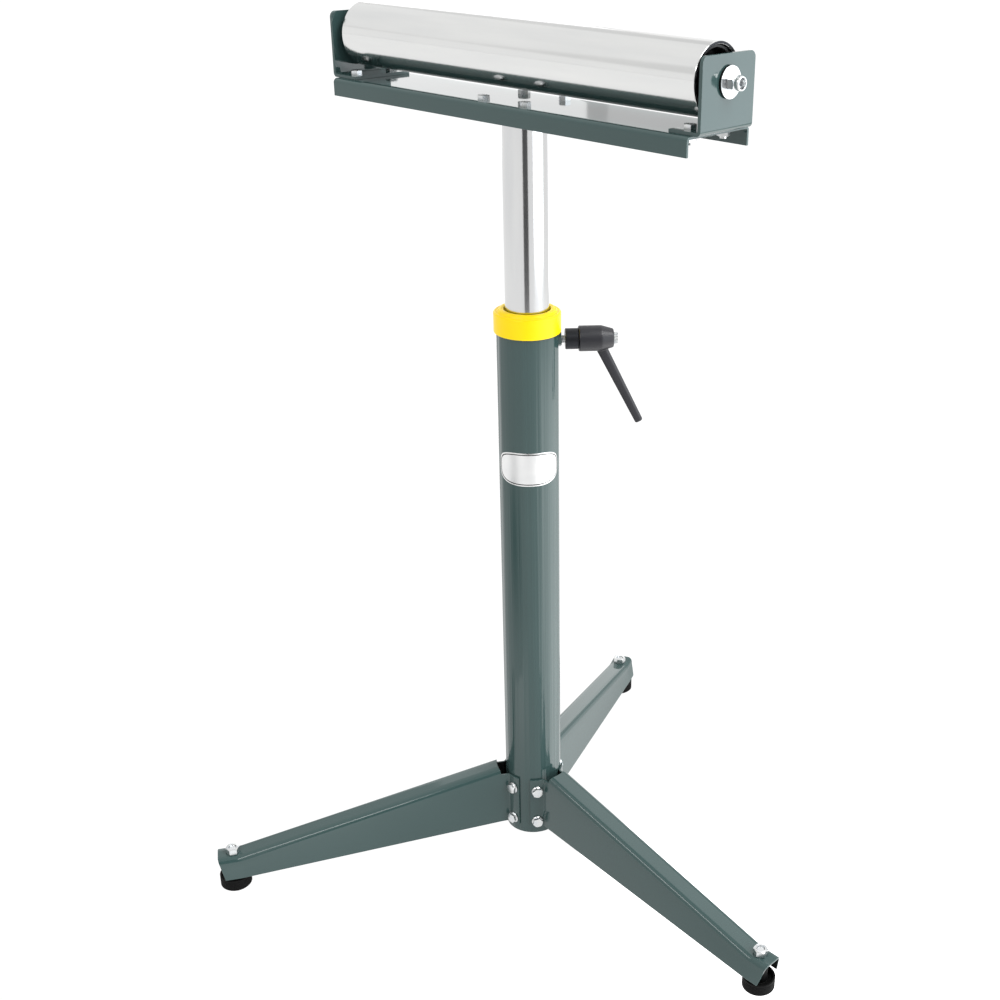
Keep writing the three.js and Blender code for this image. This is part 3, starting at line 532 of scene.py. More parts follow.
# %% Post
POST_R, POST_BORE, POST_LOW, POST_TOP = 21.2, 18.6, 284.95, 806.45
PLATE_LONG, PLATE_WIDE, PLATE_THICK = 80.0, 73.4, 8.0
shape = bmesh.new()
wall = [(POST_BORE, POST_LOW), (POST_R, POST_LOW), (POST_R, POST_TOP + 2), (POST_BORE, POST_TOP + 2)]
spin(shape, soften(wall, 0.6), 144, upright)
bead = [(POST_R - 1, POST_TOP - 4), (POST_R + 0.4, POST_TOP - 4), (POST_R + 2, POST_TOP - 2.4),
        (POST_R + 4, POST_TOP - 0.4), (POST_R + 4, POST_TOP + 1), (POST_R - 1, POST_TOP + 1)]
spin(shape, soften(bead, 0.6), 72, upright)
middle = upright @ Matrix.Translation((0, 0, (POST_TOP + PLATE_THICK / 2) * MM))
scale = Matrix.Diagonal((PLATE_LONG * MM, PLATE_WIDE * MM, PLATE_THICK * MM, 1))
plate = bmesh.ops.create_cube(shape, size=1, matrix=middle @ scale)
edges = list({edge for vert in plate["verts"] for edge in vert.link_edges})
bmesh.ops.bevel(shape, geom=edges, offset=0.0008, segments=2, affect="EDGES")
post = finish_mesh(shape, "post_pipe", post_plate)
seat(post, "head", "chrome", "post_tube")
BUSH = [(15, 280.65), (27.35, 280.65), (27.35, 314.65), (21.5, 314.65), (21.5, 284.65), (15, 284.65)]
bush = turned("guide_bush_moulding", BUSH, black_nylon, upright, 0.6)
seat(bush, "guide", "black_plastic", "guide_bush")

# %% [markdown]
# ## Head channel and end plates
# The channel is an inverted U along the roller. Each end plate is an L: its short leg is bolted to the channel
# and its upright carries the axle. The upright's top corners are rounded in the outline of the sheet.

# %% Channel and end plates
CHANNEL_TOP, CHANNEL_HALF, CHANNEL_DEPTH, CHANNEL_END = 817.0, 41.0, 16.3, 219.0
CHANNEL_WALL, CHANNEL_BEND = 2.5, 4.0
PLATE_FACE, PLATE_HALF, PLATE_FOOT, PLATE_LIFT, CORNER = 226.6, 34.2, 817.05, 60.7, 6.0
section = arch(CHANNEL_HALF, CHANNEL_HALF, CHANNEL_TOP, CHANNEL_TOP - CHANNEL_DEPTH, CHANNEL_BEND, 3, 8, 14)
stations = [-CHANNEL_END + 2 * CHANNEL_END * i / 20 for i in range(21)]
grid = [[(x, y, z) for y, z in section] for x in stations]
channel = bent_sheet("head_channel_sheet", [grid], CHANNEL_WALL, (0, 0, 1), upright, enamel)
seat(channel, "head", "paint", "head_channel")


def plate_grid():
    top = PLATE_FOOT + PLATE_LIFT
    spread = [PLATE_HALF - CORNER + CORNER * math.sin(math.pi / 2 * i / 8) for i in range(9)]
    widths = [-y for y in reversed(spread)] + [-14, 0, 14] + spread
    path = [(PLATE_FACE - d, PLATE_FOOT) for d in (32, 24, 14, 6)]
    for step in range(9):
        turn = -math.pi / 2 + math.pi / 2 * step / 8
        path.append((PLATE_FACE - 4 + 4 * math.cos(turn), PLATE_FOOT + 4 + 4 * math.sin(turn)))
    path += [(PLATE_FACE, PLATE_FOOT + z) for z in (14, 24, 34, 44, 52)]
    columns = []
    for y in widths:
        inward = max(0.0, abs(y) - (PLATE_HALF - CORNER))
        tip = top - CORNER + math.sqrt(max(0.0, CORNER ** 2 - inward ** 2))
        columns.append([(x, y, z) for x, z in path] + [(PLATE_FACE, y, tip)])
    return columns


for side, turn in (("right", 0), ("left", math.pi)):
    place = upright @ Matrix.Rotation(turn, 4, "Z")
    end_plate = bent_sheet(f"end_plate_{side}", [plate_grid()], 3.0, (1, 0, 0), place, enamel)
    seat(end_plate, "head", "paint", f"end_bracket_{side}")

# %% [markdown]
# ## Roller, bearings and axle
# Tube, end caps, bearing rings, axle and washers are all turned about the axle. Behind each washer lies a black
# layer in the feet's rubber: painted shade, for the dark gap and shadow between the washer and the end plate. The
# tube's sawn ends are dark and the caps sit a little inside it, so its end shows a thin bright rim round a dark
# hollow.

# %% Roller
AXLE_Z, ROLLER_R, ROLLER_BORE, ROLLER_END = 856.0, 30.0, 27.5, 215.5
axle_place = upright @ Matrix.Translation((0, 0, AXLE_Z * MM)) @ Matrix.Rotation(math.pi / 2, 4, "Y")
tube = [(ROLLER_BORE, -ROLLER_END), (ROLLER_R, -ROLLER_END), (ROLLER_R, ROLLER_END), (ROLLER_BORE, ROLLER_END)]
roller = turned("roller_pipe", tube, roller_plate, axle_place, 0.7, 192)
roller.data.materials.append(black_oxide)
for face in roller.data.polygons:
    face.material_index = int(abs(face.normal.x) > 0.9)
seat(roller, "roller", "chrome", "roller_tube")
CAP_LOW, CAP_HIGH, BEARING_LOW, BEARING_HIGH = 199.9, 212.9, 201.7, 211.7
cap_outline = [
    (14.8, CAP_LOW), (27.2, CAP_LOW), (27.2, CAP_HIGH), (24.7, CAP_HIGH), (24.7, CAP_LOW + 2.5), (19.3, CAP_LOW + 2.5),
    (19.3, BEARING_HIGH), (16.3, BEARING_HIGH), (16.3, CAP_LOW + 1.5), (14.8, CAP_LOW + 1.5)]
outer_ring = [
    (13.4, BEARING_LOW), (16.0, BEARING_LOW), (16.0, BEARING_HIGH), (13.2, BEARING_HIGH), (13.0, BEARING_HIGH - 0.5),
    (9.2, BEARING_HIGH - 0.5), (9.2, BEARING_HIGH - 1.0), (13.4, BEARING_HIGH - 1.0)]
inner_ring = [(6.3, BEARING_LOW), (8.6, BEARING_LOW), (8.6, BEARING_HIGH), (6.3, BEARING_HIGH)]
washer_outline = [(4.3, 228.4), (13.0, 228.4), (13.0, 229.15), (4.3, 229.15)]
# Painted shade: a black layer behind each washer, for the dark gap and shadow behind it.
washer_shade_outline = [(4.3, 226.65), (12.95, 226.65), (12.95, 228.5), (4.3, 228.5)]
for side, turn in (("right", 0), ("left", math.pi)):
    place = upright @ Matrix.Rotation(turn, 4, "Z") @ upright.inverted() @ axle_place
    cap = turned(f"end_cap_pressing_{side}", cap_outline, cap_black, place, 0.5)
    seat(cap, "roller", "black_steel", f"end_cap_{side}")
    outer = turned(f"bearing_shield_ring_{side}", outer_ring, bearing_steel, place, 0.3)
    seat(outer, "roller", "bearing_steel", f"bearing_outer_{side}")
    inner = turned(f"bearing_inner_ring_{side}", inner_ring, bearing_steel, place, 0.3)
    seat(inner, "head", "bearing_steel", f"bearing_inner_{side}")
    washer = turned(f"plain_washer_{side}", washer_outline, zinc, place, 0.35, 72)
    seat(washer, "head", "zinc_steel", f"axle_washer_{side}")
    # The black layer behind the washer is painted shade.
    shade_layer = turned(f"washer_painted_shade_{side}", washer_shade_outline, foot_rubber, place, 0.3, 72)
    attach(shade_layer, "head")

# %% [markdown]
# ## Threads by Geometry Nodes
# The foot studs, the clamp stud and the axle's ends show a little thread. A spiral curve with a small diamond
# profile makes the ridge, on a plain core. One tree serves all of them, with the sizes as named inputs.
# Points carry the direction of each rod.

# %% Thread tree


def new_tree(name, inputs):
    tree = bpy.data.node_groups.new(name, "GeometryNodeTree")
    tree.interface.new_socket("Geometry", in_out="INPUT", socket_type="NodeSocketGeometry")
    for label in inputs:
        tree.interface.new_socket(label, in_out="INPUT", socket_type="NodeSocketFloat")
    tree.interface.new_socket("Geometry", in_out="OUTPUT", socket_type="NodeSocketGeometry")
    return tree, add_node(tree, "NodeGroupInput").outputs


def aimed_copies(tree, points, model, material):
    aim = add_node(tree, "GeometryNodeInputNamedAttribute", {"Name": "aim"}, data_type="FLOAT_VECTOR")
    twist = add_node(tree, "GeometryNodeInputNamedAttribute", {"Name": "twist"}, data_type="FLOAT")
    facing = add_node(tree, "FunctionNodeAlignRotationToVector", {"Vector": aim.outputs[0]}, axis="Z")
    spun = add_node(tree, "FunctionNodeAxisAngleToRotation", {"Axis": (0, 0, 1), "Angle": twist.outputs[0]})
    both = add_node(tree, "FunctionNodeRotateRotation", {
        "Rotation": facing.outputs[0], "Rotate By": spun.outputs[0]}, rotation_space="LOCAL")
    copies = add_node(tree, "GeometryNodeInstanceOnPoints", {
        "Points": points, "Instance": model, "Rotation": both.outputs[0]})
    real = add_node(tree, "GeometryNodeRealizeInstances", {"Geometry": copies.outputs[0]})
    dressed = add_node(tree, "GeometryNodeSetMaterial", {"Geometry": real.outputs[0], "Material": material})
    add_node(tree, "NodeGroupOutput", {"Geometry": dressed.outputs[0]})


def grow(name, tree, sizes, spots):
    mesh = bpy.data.meshes.new(name)
    mesh.from_pydata([spot for spot, _, _ in spots], [], [])
    mesh.attributes.new("aim", "FLOAT_VECTOR", "POINT")
    mesh.attributes.new("twist", "FLOAT", "POINT")
    for i, (_, heading, angle) in enumerate(spots):
        mesh.attributes["aim"].data[i].vector = heading
        mesh.attributes["twist"].data[i].value = angle
    holder = bpy.data.objects.new(name, mesh)
    bpy.context.scene.collection.objects.link(holder)
    modifier = holder.modifiers.new("grow", "NODES")
    modifier.node_group = tree
    for socket in tree.interface.items_tree:
        if socket.in_out == "INPUT" and socket.name in sizes:
            modifier[socket.identifier] = sizes[socket.name] * MM
    graph = bpy.context.evaluated_depsgraph_get()
    grown = bpy.data.meshes.new_from_object(holder.evaluated_get(graph))
    holder.modifiers.remove(modifier)
    holder.data = grown
    grown.name = name
    grown.shade_smooth()
    grown.set_sharp_from_angle(angle=math.radians(SHARP_DEGREES))
    print(name, "has", len(grown.polygons), "faces at", len(spots), "places")
    return holder


thread_tree, given = new_tree("threaded_rod", ["Diameter", "Pitch", "Length"])
turns = add_node(thread_tree, "ShaderNodeMath", {0: given["Length"], 1: given["Pitch"]}, operation="DIVIDE")
ridge = add_node(thread_tree, "ShaderNodeMath", {0: given["Pitch"], 1: 0.42}, operation="MULTIPLY")
half = add_node(thread_tree, "ShaderNodeMath", {0: given["Diameter"], 1: 0.5}, operation="MULTIPLY")
root = add_node(thread_tree, "ShaderNodeMath", {0: half.outputs[0], 1: ridge.outputs[0]}, operation="SUBTRACT")
coil = add_node(thread_tree, "GeometryNodeCurveSpiral", {
    "Resolution": 24, "Rotations": turns.outputs[0], "Start Radius": root.outputs[0], "End Radius": root.outputs[0],
    "Height": given["Length"]})
steady = add_node(thread_tree, "GeometryNodeSetCurveNormal", {"Curve": coil.outputs[0]}, mode="Z_UP")
diamond = add_node(thread_tree, "GeometryNodeCurvePrimitiveCircle", {"Resolution": 4, "Radius": ridge.outputs[0]})
wound = add_node(thread_tree, "GeometryNodeCurveToMesh", {
    "Curve": steady.outputs[0], "Profile Curve": diamond.outputs[0], "Fill Caps": True})
core = add_node(thread_tree, "GeometryNodeMeshCylinder", {
    "Vertices": 24, "Radius": root.outputs[0], "Depth": given["Length"]})
lift = add_node(thread_tree, "ShaderNodeMath", {0: given["Length"], 1: 0.5}, operation="MULTIPLY")
raised = add_node(thread_tree, "ShaderNodeCombineXYZ", {"Z": lift.outputs[0]})
stood = add_node(thread_tree, "GeometryNodeTransform", {"Geometry": core.outputs[0], "Translation": raised.outputs[0]})
rod = add_node(thread_tree, "GeometryNodeJoinGeometry", {"Geometry": [wound.outputs[0], stood.outputs[0]]})
aimed_copies(thread_tree, given["Geometry"], rod.outputs[0], zinc)
print("tree", thread_tree.name, "has", len(thread_tree.nodes), "nodes")

# %% [markdown]
# ## Threaded pieces
# The foot studs stand up through the feet, and the clamp stud runs from the post to the lever's insert. The
# axle is a plain bar with a threaded stub at each end, so its stubs are joined to a turned bar.

# %% Studs and axle
UP, OUT = Vector((0, 0, 1)), clamp_place.to_3x3() @ Vector((0, 0, 1))
studs = grow("foot_stud_rods", thread_tree, {"Diameter": 8, "Pitch": 1.25, "Length": 39.8},
             [(spot + UP * 6.9 * MM, UP, 0.0) for spot in foot_spots])
seat(studs, "stand", "zinc_steel", "foot_stud_1", "foot_stud_2", "foot_stud_3")
clamp_base = clamp_place.translation
stud = grow("clamp_stud_rod", thread_tree, {"Diameter": 8, "Pitch": 1.25, "Length": 23.2},
            [(clamp_base + OUT * 22.1 * MM, OUT, 0.0)])
seat(stud, "clamp_screw", "zinc_steel", "clamp_stud")
ALONG = Vector((1, 0, 0))
axle_middle = axle_place.translation
bar_outline = [(0, -223.3), (6, -223.3), (6, 223.3), (0, 223.3)]
bar = turned("axle_bar", bar_outline, zinc, axle_place, 0.5, 48)
seat(bar, "head", "zinc_steel", "axle")
stubs = grow("axle_thread_stubs", thread_tree, {"Diameter": 8, "Pitch": 1.25, "Length": 13.0},
             [(axle_middle + ALONG * side * 222.6 * MM, ALONG * side, 0.0) for side in (1, -1)])
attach(stubs, "head")

# %% [markdown]
# ## Hexagon bolts and nuts by Geometry Nodes
# A real bolt head is a hexagon whose corners are turned off by a shallow cone. The tree makes it the same
# way: a six-sided prism is cut by a cone. A shank goes down from the head, and nuts are cut by a bore instead.
# Each fastener stopped at its own angle when it was tightened, so the points carry a twist.

# %% Fastener trees
CROWN_SLOPE, OVERRUN = math.tan(math.radians(30)), 0.5


def hexagon_prism(tree, given, both_ends):
    across, height = given["Across"], given["Height"]
    corner = add_node(tree, "ShaderNodeMath", {0: across, 1: 1 / math.sqrt(3)}, operation="MULTIPLY")
    middle = add_node(tree, "ShaderNodeMath", {0: height, 1: 0.5}, operation="MULTIPLY")
    raised = add_node(tree, "ShaderNodeCombineXYZ", {"Z": middle.outputs[0]})
    prism = add_node(tree, "GeometryNodeMeshCylinder", {
        "Vertices": 6, "Radius": corner.outputs[0], "Depth": height})
    solid = add_node(tree, "GeometryNodeTransform", {
        "Geometry": prism.outputs[0], "Translation": raised.outputs[0]}).outputs[0]
    tip = add_node(tree, "ShaderNodeMath", {
        0: across, 1: 0.49, 2: -OVERRUN * MM / CROWN_SLOPE}, operation="MULTIPLY_ADD")
    tall = add_node(tree, "ShaderNodeMath", {0: height, 1: 2 * OVERRUN * MM}, operation="ADD")
    skirt = add_node(tree, "ShaderNodeMath", {
        0: tall.outputs[0], 1: 1 / CROWN_SLOPE, 2: tip.outputs[0]}, operation="MULTIPLY_ADD")
    blade = add_node(tree, "GeometryNodeMeshCone", {
        "Vertices": 48, "Radius Top": tip.outputs[0], "Radius Bottom": skirt.outputs[0], "Depth": tall.outputs[0]})
    cone = add_node(tree, "GeometryNodeTransform", {
        "Geometry": blade.outputs[0], "Translation": (0, 0, -OVERRUN * MM)})
    cutters = [cone.outputs[0]]
    if both_ends:
        raise_all = add_node(tree, "ShaderNodeCombineXYZ", {"Z": height})
        cutters.append(add_node(tree, "GeometryNodeTransform", {
            "Geometry": cone.outputs[0], "Translation": raise_all.outputs[0],
            "Rotation": (math.pi, 0, 0)}).outputs[0])
    for cutter in cutters:
        solid = add_node(tree, "GeometryNodeMeshBoolean", {1: [solid, cutter]}, operation="INTERSECT").outputs[0]
    return solid


bolt_tree, given = new_tree("hexagon_bolt", ["Across", "Height", "Shank", "Length"])
head = hexagon_prism(bolt_tree, given, False)
shank_r = add_node(bolt_tree, "ShaderNodeMath", {0: given["Shank"], 1: 0.5}, operation="MULTIPLY")
drop = add_node(bolt_tree, "ShaderNodeMath", {0: given["Length"], 1: -0.499}, operation="MULTIPLY")
lowered = add_node(bolt_tree, "ShaderNodeCombineXYZ", {"Z": drop.outputs[0]})
shank = add_node(bolt_tree, "GeometryNodeMeshCylinder", {
    "Vertices": 24, "Radius": shank_r.outputs[0], "Depth": given["Length"]})
hung = add_node(bolt_tree, "GeometryNodeTransform", {
    "Geometry": shank.outputs[0], "Translation": lowered.outputs[0]})
bolt = add_node(bolt_tree, "GeometryNodeJoinGeometry", {"Geometry": [head, hung.outputs[0]]})
aimed_copies(bolt_tree, given["Geometry"], bolt.outputs[0], zinc)

nut_tree, given = new_tree("hexagon_nut", ["Across", "Height", "Bore"])
blank = hexagon_prism(nut_tree, given, True)
bore_r = add_node(nut_tree, "ShaderNodeMath", {0: given["Bore"], 1: 0.5}, operation="MULTIPLY")
drill = add_node(nut_tree, "GeometryNodeMeshCylinder", {
    "Vertices": 32, "Radius": bore_r.outputs[0], "Depth": 0.1})
bored = add_node(nut_tree, "GeometryNodeMeshBoolean", {
    "Mesh 1": blank, "Mesh 2": drill.outputs[0]}, operation="DIFFERENCE")
aimed_copies(nut_tree, given["Geometry"], bored.outputs[0], zinc)

flange_tree, given = new_tree("bolt_flange", ["Across", "Height"])
wide = add_node(flange_tree, "ShaderNodeMath", {0: given["Across"], 1: 0.5}, operation="MULTIPLY")
narrow = add_node(flange_tree, "ShaderNodeMath", {0: given["Across"], 1: 0.44}, operation="MULTIPLY")
skirt = add_node(flange_tree, "GeometryNodeMeshCone", {
    "Vertices": 48, "Radius Top": narrow.outputs[0], "Radius Bottom": wide.outputs[0], "Depth": given["Height"]})
aimed_copies(flange_tree, given["Geometry"], skirt.outputs[0], zinc)
print("bolt tree", len(bolt_tree.nodes), "nodes; nut tree", len(nut_tree.nodes), "nodes")

# %% [markdown]
# ## Fasteners in place
# Leg bolts with small flanges sit on the tabs, pointing at the column. Centre bolts hold the channel to the post, and bracket bolts
# and nuts hold the end plates. The twists are fixed numbers, one for each fastener.

# %% Fasteners
FOOT_NUT_TWISTS = (0.58, 0.72, 0.0)
TWISTS = (0.1, 0.62, 0.35, 0.9, 0.2, 0.75, 0.5, 0.05, 0.8, 0.3, 0.95, 0.45)
leg_bolts = []
for degrees in LEG_DEGREES:
    for side in (-35, 35):
        for z in (45.6, 85.3):
            angle = math.radians(degrees + side)
            facing = Vector((math.cos(angle), math.sin(angle), 0))
            leg_bolts.append((column_axis + facing * 32.75 * MM + UP * z * MM, facing, TWISTS[len(leg_bolts)]))
bolts = grow("leg_bolt_set", bolt_tree, {"Across": 10, "Height": 4, "Shank": 6, "Length": 9}, leg_bolts)
seat(bolts, "stand", "zinc_steel", *[f"leg_bolt_{i}" for i in range(1, 13)])
flanges = grow("leg_bolt_flanges", flange_tree, {"Across": 12.8, "Height": 1.2}, leg_bolts)
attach(flanges, "stand")
nuts = grow("foot_nut_set", nut_tree, {"Across": 13, "Height": 6.5, "Bore": 8.2},
            [(spot + UP * 41.3 * MM, UP, turn) for spot, turn in zip(foot_spots, FOOT_NUT_TWISTS)])
seat(nuts, "stand", "zinc_steel", "foot_nut_1", "foot_nut_2", "foot_nut_3")
centre_spots = [(-25.5, -25.5), (25.5, -25.5), (25.5, 25.5), (-25.5, 25.5)]
centre = [(column_axis + Vector((x, y, 817.05)) * MM, UP, TWISTS[i]) for i, (x, y) in enumerate(centre_spots)]
bolts = grow("centre_bolt_set", bolt_tree, {"Across": 10, "Height": 4, "Shank": 6, "Length": 11.5}, centre)
seat(bolts, "head", "zinc_steel", *[f"centre_bolt_{i}" for i in range(1, 5)])
ends = [(x, y) for x in (207, -207) for y in (-22, 22)]
places = [(column_axis + Vector((x, y, 820.1)) * MM, UP, TWISTS[i + 4]) for i, (x, y) in enumerate(ends)]
bolts = grow("bracket_bolt_set", bolt_tree, {"Across": 10, "Height": 4, "Shank": 6, "Length": 12.6}, places)
names = [f"{side}_{i}" for side in ("right", "left") for i in (1, 2)]
seat(bolts, "head", "zinc_steel", *[f"bracket_bolt_{name}" for name in names])
places = [(column_axis + Vector((x, y, 809.45)) * MM, UP, TWISTS[i + 7]) for i, (x, y) in enumerate(ends)]
nuts = grow("bracket_nut_set", nut_tree, {"Across": 10, "Height": 5, "Bore": 6.2}, places)
seat(nuts, "head", "zinc_steel", *[f"bracket_nut_{name}" for name in names])

# %% [markdown]
# ## Lock nuts
# The axle's nuts have a plain collar that grips the thread. The hexagon is the nut tree again, and the collar is
# turned, with a rolled rim round a dark hole.

# %% Lock nuts
places = [(axle_middle + ALONG * side * 229.2 * MM, ALONG * side, TWISTS[i]) for i, side in enumerate((1, -1))]
hexes = grow("lock_nut_hexagons", nut_tree, {"Across": 13, "Height": 6.5, "Bore": 8.2}, places)
seat(hexes, "head", "zinc_steel", "axle_nut_right", "axle_nut_left")
rim = [(4.3, 235.3), (6.0, 235.3), (6.0, 238.9), (5.5, 240.2), (4.5, 240.2), (4.3, 239.6)]
for side, turn in (("right", 0), ("left", math.pi)):
    place = upright @ Matrix.Rotation(turn, 4, "Z") @ upright.inverted() @ axle_place
    collar_rim = turned(f"lock_nut_collar_{side}", rim, zinc, place, 0.4, 64)
    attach(collar_rim, "head")

# %% [markdown]
# ## Clamp lever
# The lever is one moulding: a stepped hub and a tapered arm. Hub and arm are joined and hollowed with Boolean
# modifiers, and a voxel remesh melts the joint into the small fillet that a mould leaves.

# %% Lever
HUB = [(0, 49.25), (12.5, 49.25), (12.5, 71.25), (9.0, 83.25), (0, 83.25)]
POCKET = [(0, 56.25), (6.5, 56.25), (6.5, 90), (0, 90)]
SOCKET = [(0, 45), (7.0, 45), (7.0, 53.55), (0, 53.55)]
BORE = [(0, 50), (2.8, 50), (2.8, 60), (0, 60)]
ARM_DROP, ARM_OUT, ARM_START, ARM_ROOT, ARM_TIP = 87.0, 43.3, 66.75, 5.55, 4.05
VOXEL = 0.4


def lever_arm(shape):
    length = math.hypot(ARM_DROP, ARM_OUT)
    lean = Matrix.Rotation(math.atan2(ARM_DROP, ARM_OUT), 4, "Y")
    place = clamp_place @ Matrix.Translation((0, 0, ARM_START * MM)) @ lean
    rings = []
    for height, grow_by in ((0, 0), (length * 0.5, 0), (length - 1.2, 0), (length - 0.4, -0.5), (length, -1.2)):
        radius = ARM_ROOT + (ARM_TIP - ARM_ROOT) * height / length + grow_by
        ring = []
        for step in range(32):
            turn = 2 * math.pi * step / 32
            c, s = math.cos(turn), math.sin(turn)
            corner = (abs(c) ** 3.4 + abs(s) ** 3.4) ** (-1 / 3.4)
            ring.append(shape.verts.new(place @ (Vector((radius * corner * c, radius * corner * s, height)) * MM)))
        rings.append(ring)
    for ring, following in zip(rings, rings[1:]):
        for step in range(32):
            shape.faces.new((ring[step], ring[(step + 1) % 32], following[(step + 1) % 32], following[step]))
    shape.faces.new(rings[0][::-1])
    shape.faces.new(rings[-1])
    bmesh.ops.recalc_face_normals(shape, faces=shape.faces)


def tool(name, outline):
    return turned(name, outline, black_nylon, clamp_place, 0.0, 48)


lever = turned("lever_moulding", HUB, black_nylon, clamp_place, 1.0, 96)
shape = bmesh.new()
lever_arm(shape)
arm = finish_mesh(shape, "arm_blank", black_nylon)
cuts = [("UNION", arm)] + [("DIFFERENCE", tool(f"cut_{i}", o)) for i, o in enumerate((POCKET, SOCKET, BORE))]
for operation, other in cuts:
    join = lever.modifiers.new(other.name, "BOOLEAN")
    join.operation = operation
    join.object = other
melt = lever.modifiers.new("melt", "REMESH")
melt.mode = "VOXEL"
melt.voxel_size = VOXEL * MM
ease = lever.modifiers.new("ease", "SMOOTH")
ease.factor = 0.5
ease.iterations = 3
graph = bpy.context.evaluated_depsgraph_get()
moulded = bpy.data.meshes.new_from_object(lever.evaluated_get(graph))
lever.modifiers.clear()
lever.data = moulded
moulded.shade_smooth()
for _, other in cuts:
    bpy.data.objects.remove(other)
seat(lever, "lever", "black_plastic", "lever_handle")

# %% [markdown]
# ## Lever insert, spring and screw
# The blackened insert carries the teeth that the lever locks on. A spring presses the lever home, held by a screw
# whose head has coarse teeth round its rim. Teeth and spring repeat by a rule, so Geometry Nodes make them.

# %% Insert, spring and screw
insert_outline = [(4.3, 36.25), (10.2, 36.25), (10.2, 48.95), (4.3, 48.95)]
insert = turned("lever_insert_collar", insert_outline, black_oxide, clamp_place, 0.8, 64)
seat(insert, "clamp_screw", "black_steel", "lever_insert")

tooth_tree, given = new_tree("toothed_ring", ["Radius", "Tooth", "Length", "Bore"])
circle = add_node(tooth_tree, "GeometryNodeMeshCircle", {"Vertices": 12, "Radius": given["Radius"]})
tooth = add_node(tooth_tree, "GeometryNodeMeshCylinder", {
    "Vertices": 16, "Radius": given["Tooth"], "Depth": given["Length"]})
teeth = add_node(tooth_tree, "GeometryNodeInstanceOnPoints", {"Points": circle.outputs[0], "Instance": tooth.outputs[0]})
solid_teeth = add_node(tooth_tree, "GeometryNodeRealizeInstances", {"Geometry": teeth.outputs[0]})
drum = add_node(tooth_tree, "GeometryNodeMeshCylinder", {
    "Vertices": 48, "Radius": given["Radius"], "Depth": given["Length"]})
gear = add_node(tooth_tree, "GeometryNodeMeshBoolean", {
    1: [drum.outputs[0], solid_teeth.outputs[0]]}, operation="UNION")
hole_r = add_node(tooth_tree, "ShaderNodeMath", {0: given["Bore"], 1: 0.5}, operation="MULTIPLY")
drill = add_node(tooth_tree, "GeometryNodeMeshCylinder", {"Vertices": 6, "Radius": hole_r.outputs[0], "Depth": 0.1})
ring = add_node(tooth_tree, "GeometryNodeMeshBoolean", {
    "Mesh 1": gear.outputs[0], "Mesh 2": drill.outputs[0]}, operation="DIFFERENCE")
aimed_copies(tooth_tree, given["Geometry"], ring.outputs[0], zinc)

teeth = grow("lever_insert_teeth", tooth_tree, {"Radius": 5.4, "Tooth": 1.1, "Length": 4.1, "Bore": 5.2},
             [(clamp_base + OUT * 50.9 * MM, OUT, 0.0)])
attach(teeth, "clamp_screw")
screw_shank = turned("lever_screw_shank", [(0, 50.7), (2.5, 50.7), (2.5, 82), (0, 82)], zinc, clamp_place, 0.3, 32)
seat(screw_shank, "clamp_screw", "zinc_steel", "lever_screw")
screw_head = grow("lever_screw_head", tooth_tree, {"Radius": 4.8, "Tooth": 1.0, "Length": 7, "Bore": 5.6},
                  [(clamp_base + OUT * 83.75 * MM, OUT, 0.13)])
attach(screw_head, "clamp_screw")

spring_tree, given = new_tree("wound_spring", ["Diameter", "Wire", "Height"])
inner = add_node(spring_tree, "ShaderNodeMath", {0: given["Diameter"], 1: given["Wire"]}, operation="SUBTRACT")
mean = add_node(spring_tree, "ShaderNodeMath", {0: inner.outputs[0], 1: 0.5}, operation="MULTIPLY")
wire_r = add_node(spring_tree, "ShaderNodeMath", {0: given["Wire"], 1: 0.5}, operation="MULTIPLY")
coil = add_node(spring_tree, "GeometryNodeCurveSpiral", {
    "Resolution": 32, "Rotations": 5.0, "Start Radius": mean.outputs[0], "End Radius": mean.outputs[0],
    "Height": given["Height"]})
gauge = add_node(spring_tree, "GeometryNodeCurvePrimitiveCircle", {"Resolution": 12, "Radius": wire_r.outputs[0]})
wound = add_node(spring_tree, "GeometryNodeCurveToMesh", {
    "Curve": coil.outputs[0], "Profile Curve": gauge.outputs[0], "Fill Caps": True})
aimed_copies(spring_tree, given["Geometry"], wound.outputs[0], zinc)
spring = grow("lever_spring_wire", spring_tree, {"Diameter": 10, "Wire": 1.2, "Height": 22.2},
              [(clamp_base + OUT * 57.15 * MM, OUT, 0.0)])
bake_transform(spring)
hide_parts("lever_spring")

# %% [markdown]
# ## Blank plate on the column
# A thin foil plate with rounded ends lies on the front of the column. It is bare, with a fine dark border. It is
# drawn flat as rings of one outline, each set further in, and then rolled round the column.

# %% Blank plate
PLATE_MID, PLATE_ARC, PLATE_TALL, PLATE_Z = -46.0, 69.6, 35.2, 468.8
PLATE_LOW_R, PLATE_HIGH_R, POWER = 30.2, 30.55, 3.2
INSETS = (0.0, 0.25, 1.3, 2.3, 5, 9, 13, 17)


def plate_ring(inset, radius, steps=120):
    ring = []
    a, b = PLATE_ARC / 2 - inset, PLATE_TALL / 2 - min(inset, PLATE_TALL / 2 - 0.3)
    for step in range(steps):
        turn = 2 * math.pi * step / steps
        c, s = math.cos(turn), math.sin(turn)
        reach = (abs(c) ** POWER + abs(s) ** POWER) ** (-1 / POWER)
        angle = math.radians(PLATE_MID) + a * reach * c / COLUMN_R
        ring.append(column_axis + Vector((radius * math.cos(angle), radius * math.sin(angle),
                                          PLATE_Z + b * reach * s)) * MM)
    return ring


